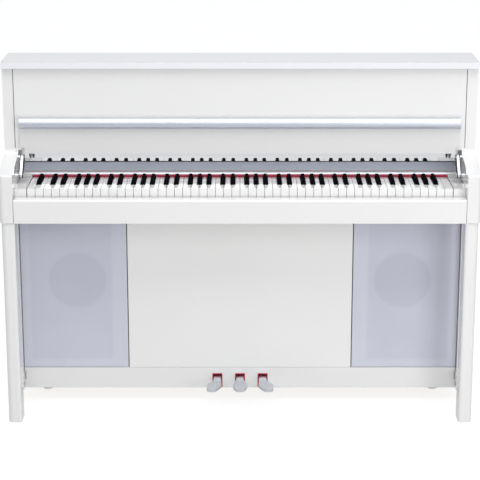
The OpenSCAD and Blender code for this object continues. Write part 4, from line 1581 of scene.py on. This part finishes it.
@dataclass
class Pedals:
    """The three pedals with their felts, axle, frame and stops.

    Attributes:
        shop: Where pieces are placed.
        thick: Thickness of a pedal's blade.
        blade: Length of the blade beyond the neck.
        wide: Widest part of the blade.
        tip: Width of the blade at its tip.
        wide_at: Distance of the widest part from the tip.
        skew: Sideways offset of the outer pedals' tips.
        sweep: Share of that offset that the widest part has.
        neck: Width of the neck.
        nose: Share of the tip's width that is blunt.
        shoulder: Distance from the tip to its corners, as a share of half its width.
        waist: How far the blade's hollow sides lean back toward the neck.
        root: How far the blade reaches into the neck.
        felt: Thickness of the felt.
        edge: Radius of the blade's edges.
        names: The pedals' names, from left to right.
    """

    shop: Workshop
    thick: float = 8.0
    blade: float = 83.0
    wide: float = 43.0
    tip: float = 29.0
    wide_at: float = 38.0
    skew: float = 15.0
    sweep: float = 0.62
    neck: float = 21.0
    nose: float = 0.45
    shoulder: float = 0.6
    waist: float = 4.0
    root: float = 6.0
    felt: float = 2.7
    edge: float = 2.2
    names: tuple[str, ...] = ("soft", "sostenuto", "damper")

    def build(self) -> None:
        """Builds and dresses the pedals and what holds them."""
        for name, turn in zip(self.names, (-1, 0, 1)):
            self.pedal(name, turn)
        self.felts()
        self.shop.keep("pedal_axle", Finishes.STEEL, edge=0.4)
        self.shop.keep("pedal_frame", Finishes.STEEL, edge=0.3)
        self.shop.keep("pedal_stops", Finishes.RUBBER, edge=0.6)

    def pedal(self, name: str, turn: int) -> None:
        """Builds one pedal.

        Args:
            name: The pedal's name.
            turn: -1, 0 or 1, for which way the blade sweeps.
        """
        box = Span.of(f"pedal_{name}")
        x, axle_y, axle_z = joint_place(f"{name}_pedal_hinge")
        low = axle_z - self.thick / 2
        high = low + self.thick
        skew = turn * self.skew
        middle = skew * self.sweep
        wide_y = box.y0 + self.wide_at
        neck_y = box.y0 + self.blade
        half_tip = self.tip / 2
        half_wide = self.wide / 2
        half_neck = self.neck / 2
        nose = half_tip * self.nose
        corner_y = box.y0 + half_tip * self.shoulder
        waist_y = (wide_y + neck_y) / 2 + self.waist
        root_y = neck_y + self.root
        right = [
            (skew + nose, box.y0), (skew + half_tip, corner_y), (middle + half_wide, wide_y),
            ((middle + half_wide + half_neck) / 2, waist_y), (half_neck, neck_y), (half_neck, root_y),
        ]
        left = [
            (-half_neck, root_y), (-half_neck, neck_y), ((middle - half_wide - half_neck) / 2, waist_y),
            (middle - half_wide, wide_y), (skew - half_tip, corner_y), (skew - nose, box.y0),
        ]
        stock = Stock()
        stock.prism([(x + px, max(py, box.y0)) for px, py in flowing(right + left)], Axis.Z, low, high)
        stock.round_edges(self.edge, 3, 60)
        arm = Stock()
        arm.bar(Span(x - self.neck / 2, x + self.neck / 2, neck_y + 4, axle_y, low, high + 2.5))
        arm.round_edges(1.4, 3)
        radius = box.y1 - axle_y
        arm.turned(
            [(radius - 0.6, 0), (radius, 0.6), (radius, self.neck - 0.6), (radius - 0.6, self.neck)],
            (x - self.neck / 2, axle_y, axle_z), (1, 0, 0),
        )
        body = f"{name}_pedal"
        self.shop.piece(f"pedal_{name}_blade", stock, Finishes.PEDAL_METAL, body, [f"pedal_{name}"])
        self.shop.piece(f"pedal_{name}_arm", arm, Finishes.PEDAL_METAL, body)

    def felts(self) -> None:
        """Builds the felt that lines each slot."""
        box = Span.of("pedal_felts")
        pitch = joint_place("damper_pedal_hinge")[0]
        half = box.x1 - pitch
        stock = Stock()
        for i in (-1, 0, 1):
            x = i * pitch
            inner = half - self.felt
            outline = [(x - half, box.z0), (x - half, box.z1), (x + half, box.z1), (x + half, box.z0)]
            outline += [(x + inner, box.z0), (x + inner, box.z1 - self.felt)]
            outline += [(x - inner, box.z1 - self.felt), (x - inner, box.z0)]
            stock.prism(outline, Axis.Y, box.y0, box.y1)
        stock.round_edges(0.7, 3)
        self.shop.piece("pedal_slot_felts", stock, Finishes.RED_FELT, stands_for=["pedal_felts"])


@dataclass
class Fasteners:
    """The screws: flat heads with a round socket, and their shanks.

    Attributes:
        shop: Where pieces are placed.
        head: Radius of a head.
        head_high: Height of a head.
        ease: How far a head's rim is rounded.
        socket: Radius of the socket in a head.
        socket_deep: Depth of the socket at its middle.
        socket_wall: Depth of the socket's wall.
        shank: Radius of a shank.
        length: Length of a shank.
    """

    shop: Workshop
    head: float = 4.5
    head_high: float = 2.2
    ease: float = 0.5
    socket: float = 1.6
    socket_deep: float = 1.5
    socket_wall: float = 1.3
    shank: float = 2.0
    length: float = 13.0

    def build(self) -> None:
        """Builds every screw as one piece, as the frame has them."""
        stock = Stock()
        for side in Side:
            self.bracket_screw(stock, side)
            self.speaker_screws(stock, side)
            self.back_screws(stock, side)
            self.frame_screws(stock, side)
        self.shop.piece("wood_screws_set", stock, Finishes.CHROME, stands_for=["wood_screws"])

    def screw(self, stock: Stock, under_head: Point3, into: Point3, length: float | None = None) -> None:
        """Adds one screw.

        Args:
            stock: The mesh to add it to.
            under_head: Where the underside of its head is.
            into: The direction that its shank points.
            length: Length of its shank, or None for the usual one.
        """
        top = -self.head_high
        profile = [
            (self.socket * 0.5, top + self.socket_deep), (self.socket, top + self.socket_wall),
            (self.socket, top), (self.head - self.ease, top), (self.head, top + self.ease),
            (self.head, 0.0), (self.shank, 0.0), (self.shank, length or self.length),
        ]
        stock.turned(profile, under_head, into, 24)

    def bracket_screw(self, stock: Stock, side: Side) -> None:
        """Adds the screw through a fallboard bracket."""
        _, y, z = joint_place("fallboard_hinge")
        leg = Fallboard.leg
        inner = Span.of("fallboard_leaf").x1 - Fallboard.bracket_in
        reach = Span.of("arm_right").x0 - inner + self.length
        self.screw(stock, (side.value * inner, y - leg, z - leg), (side.value, 0, 0), reach)

    def speaker_screws(self, stock: Stock, side: Side) -> None:
        """Adds the four screws of a loudspeaker."""
        box = Span.of("speakers")
        radius = (box.z1 - box.z0) / 2
        circle = radius - 5
        across = side.value * (box.x1 - radius)
        for i in range(4):
            turn = math.radians(45 + 90 * i)
            place = (across + circle * math.cos(turn), box.y0, box.cz + circle * math.sin(turn))
            self.screw(stock, place, (0, 1, 0))

    def back_screws(self, stock: Stock, side: Side) -> None:
        """Adds the column of screws along one edge of the back panel."""
        panel = Span.of("side_panel_right")
        back = Span.of("back_panel")
        rows = 5
        for i in range(rows):
            z = panel.z0 + (panel.z1 - panel.z0) * (i + 0.5) / rows
            self.screw(stock, (side.value * panel.cx, back.y1 - self.head_high, z), (0, -1, 0))

    def frame_screws(self, stock: Stock, side: Side) -> None:
        """Adds the two screws that hold one end of the pedal frame."""
        x, axle_y, _ = joint_place("damper_pedal_hinge")
        flange_top = Span.of("bottom_board").z1 + 3
        flange_x = x + 21
        for from_axle in (-4, 24):
            place = (side.value * flange_x, axle_y + from_axle, flange_top)
            self.screw(stock, place, (0, 0, -1))


@dataclass
class Electrics:
    """The boards, the rear connectors, the power switch and the headphone box.

    Attributes:
        shop: Where pieces are placed.
        collar: Outer radius of the collar round a jack socket.
        collar_high: How far a collar stands out.
        collar_deep: How far a collar is sunk in.
        collar_ease: How far a collar's rim is rounded.
    """

    shop: Workshop
    collar: float = 5.2
    collar_high: float = 0.8
    collar_deep: float = 0.5
    collar_ease: float = 0.4

    def build(self) -> None:
        """Dresses the boxes and boards, and builds the jack sockets' collars."""
        self.shop.keep("connector_plate", Finishes.BLACK_PLASTIC, edge=0.4)
        self.shop.keep("power_switch", Finishes.BLACK_PLASTIC, edge=0.5)
        self.shop.keep("main_board", Finishes.BOARD_GREEN)
        self.shop.keep("power_supply", Finishes.STEEL, edge=0.4)
        self.shop.keep("headphone_box", Finishes.BLACK_PLASTIC, edge=0.8)
        stock = Stock()
        for mount in frame["record"]["mounts"]:
            if mount["kind"] == "bore":
                self.jack_collar(stock, mount)
        self.shop.piece("jack_collars", stock, Finishes.CHROME)

    def jack_collar(self, stock: Stock, mount: dict) -> None:
        """Adds the collar round one jack socket.

        Args:
            stock: The mesh to add it to.
            mount: The record's mount for the socket.
        """
        inner = mount["dims"]["r_mm"] + 0.1
        mouth = Vector(mount["pos_m"]) / MM
        out = Vector(mount["axis"])
        profile = [
            (inner, -self.collar_deep), (inner, self.collar_high),
            (self.collar - self.collar_ease, self.collar_high),
            (self.collar, self.collar_high - self.collar_ease), (self.collar, -self.collar_deep),
        ]
        stock.washer(profile, tuple(mouth), tuple(out))


# ---- studio ----


@dataclass(frozen=True)
class Softbox:
    """One soft lamp.

    Attributes:
        name: Its name.
        place: Where it stands, in metres.
        size: Width and height, in metres.
        power: Its power, in watts.
    """

    name: str
    place: Point3
    size: tuple[float, float]
    power: float

    def set_up(self, target: Vector) -> None:
        """Places the lamp, facing the target."""
        lamp = bpy.data.lights.new(self.name, "AREA")
        lamp.shape = "RECTANGLE"
        lamp.size, lamp.size_y = self.size
        lamp.energy = self.power
        holder = bpy.data.objects.new(self.name, lamp)
        holder.location = self.place
        holder.rotation_euler = (target - Vector(self.place)).to_track_quat("-Z", "Y").to_euler()
        bpy.context.scene.collection.objects.link(holder)


@dataclass
class Studio:
    """The pale floor, the soft light and the camera.

    Attributes:
        floor_radius: Radius of the floor, in metres.
        floor_glow: Light that the floor shows to the camera.
        floor_bounce: Light that the floor gives to the piano.
        distance: From the camera to the point it looks at, in metres.
        pitch: How far the camera looks down, in degrees.
        lens: Focal length, in millimetres.
        aim_height: Height of the point it looks at, in metres.
        horizon: Light from the room in front, at eye level.
        zenith: Light from the ceiling.
        backdrop: Light from the backdrop.
        backdrop_glow: Light that the backdrop shows to the camera.
        sky_tint: Colour of the room's light.
        lamps: The softboxes.
    """

    floor_radius: float = 60.0
    floor_glow: float = 0.78
    floor_bounce: float = 0.42
    distance: float = 4.9
    pitch: float = 15.5
    lens: float = 123.8
    aim_height: float = 0.5165
    horizon: float = 0.1
    zenith: float = 0.75
    backdrop: float = 0.7
    backdrop_glow: float = 1.05
    sky_tint: tuple[float, float, float, float] = (0.97, 0.985, 1.0, 1.0)
    lamps: tuple[Softbox, ...] = (
        Softbox("overhead_softbox", (0.0, -1.3, 4.0), (4.5, 3.0), 84.0),
        Softbox("treble_side_softbox", (1.75, -2.6, 0.6), (0.9, 0.8), 15.0),
        Softbox("front_softbox", (0.8, -4.7, 2.7), (6.0, 1.6), 60.0),
    )

    def build(self) -> None:
        """Sets up the studio."""
        self.floor()
        self.sky()
        for lamp in self.lamps:
            lamp.set_up(Vector((0, 0, self.aim_height)))
        self.camera()
        bpy.context.scene.view_settings.view_transform = "Standard"

    def floor(self) -> None:
        """Lays the pale, evenly lit floor."""
        mesh = bpy.data.meshes.new("studio_floor")
        bm = bmesh.new()
        steps = 64
        ring = [
            bm.verts.new((self.floor_radius * math.cos(a), self.floor_radius * math.sin(a), 0))
            for a in (2 * math.pi * i / steps for i in range(steps))
        ]
        bm.faces.new(ring)
        bm.to_mesh(mesh)
        bm.free()
        floor = bpy.data.objects.new("studio_floor", mesh)
        bpy.context.scene.collection.objects.link(floor)
        material = bpy.data.materials.new("pale_floor")
        material.use_nodes = True
        shader = material.node_tree.nodes["Principled BSDF"]
        shader.inputs["Base Color"].default_value = (0.3, 0.3, 0.3, 1)
        shader.inputs["Roughness"].default_value = 0.9
        shader.inputs["Specular IOR Level"].default_value = 0.1
        shader.inputs["Emission Color"].default_value = (1, 1, 1, 1)
        wiring = Wiring(material.node_tree)
        seen = wiring.node("ShaderNodeLightPath").outputs["Is Camera Ray"]
        glow = wiring.spread(seen, 0.0, 1.0, (self.floor_bounce, self.floor_glow))
        material.node_tree.links.new(glow, shader.inputs["Emission Strength"])
        mesh.materials.append(material)

    def sky(self) -> None:
        """Lights the room from the ceiling and the backdrop, and keeps it dim in front."""
        world = bpy.data.worlds.new("studio_light")
        world.use_nodes = True
        world.node_tree.nodes.clear()
        wiring = Wiring(world.node_tree)
        toward = wiring.node("ShaderNodeTexCoord").outputs["Generated"]
        split = wiring.node("ShaderNodeSeparateXYZ", {0: toward})
        above = wiring.spread(split.outputs[2], 0.0, 0.75, (self.horizon, self.zenith))
        behind = wiring.spread(split.outputs[1], 0.0, 0.7, (self.horizon, self.backdrop))
        strength = wiring.sum("MAXIMUM", above, behind)
        light = wiring.node("ShaderNodeBackground", {0: self.sky_tint, 1: strength})
        plain = wiring.node("ShaderNodeBackground", {0: (1, 1, 1, 1), 1: self.backdrop_glow})
        seen = wiring.node("ShaderNodeLightPath").outputs["Is Camera Ray"]
        mixed = wiring.node("ShaderNodeMixShader", {0: seen, 1: light.outputs[0], 2: plain.outputs[0]})
        wiring.node("ShaderNodeOutputWorld", {0: mixed.outputs[0]})
        bpy.context.scene.world = world

    def camera(self) -> None:
        """Puts the camera in front of the keys, looking a little down."""
        data = bpy.data.cameras.new("camera")
        data.lens = self.lens
        data.clip_end = 100
        camera = bpy.data.objects.new("camera", data)
        turn = math.radians(self.pitch)
        camera.location = (
            0, -self.distance * math.cos(turn), self.aim_height + self.distance * math.sin(turn)
        )
        camera.rotation_euler = (math.radians(90) - turn, 0, 0)
        bpy.context.scene.collection.objects.link(camera)
        bpy.context.scene.camera = camera


def main() -> None:
    """Builds every sub-assembly in order, then the studio."""
    logging.basicConfig(level=logging.INFO, format="%(name)s %(message)s")
    shop = Workshop()
    for maker in (Cabinet, Stand, KeyWell, Keyboard, Fallboard, LowerFront, Pedals, Fasteners, Electrics):
        maker(shop).build()
        log.info("%s done, %d pieces so far", maker.__name__, shop.count)
    Studio().build()


if __name__ == "__main__":
    main()
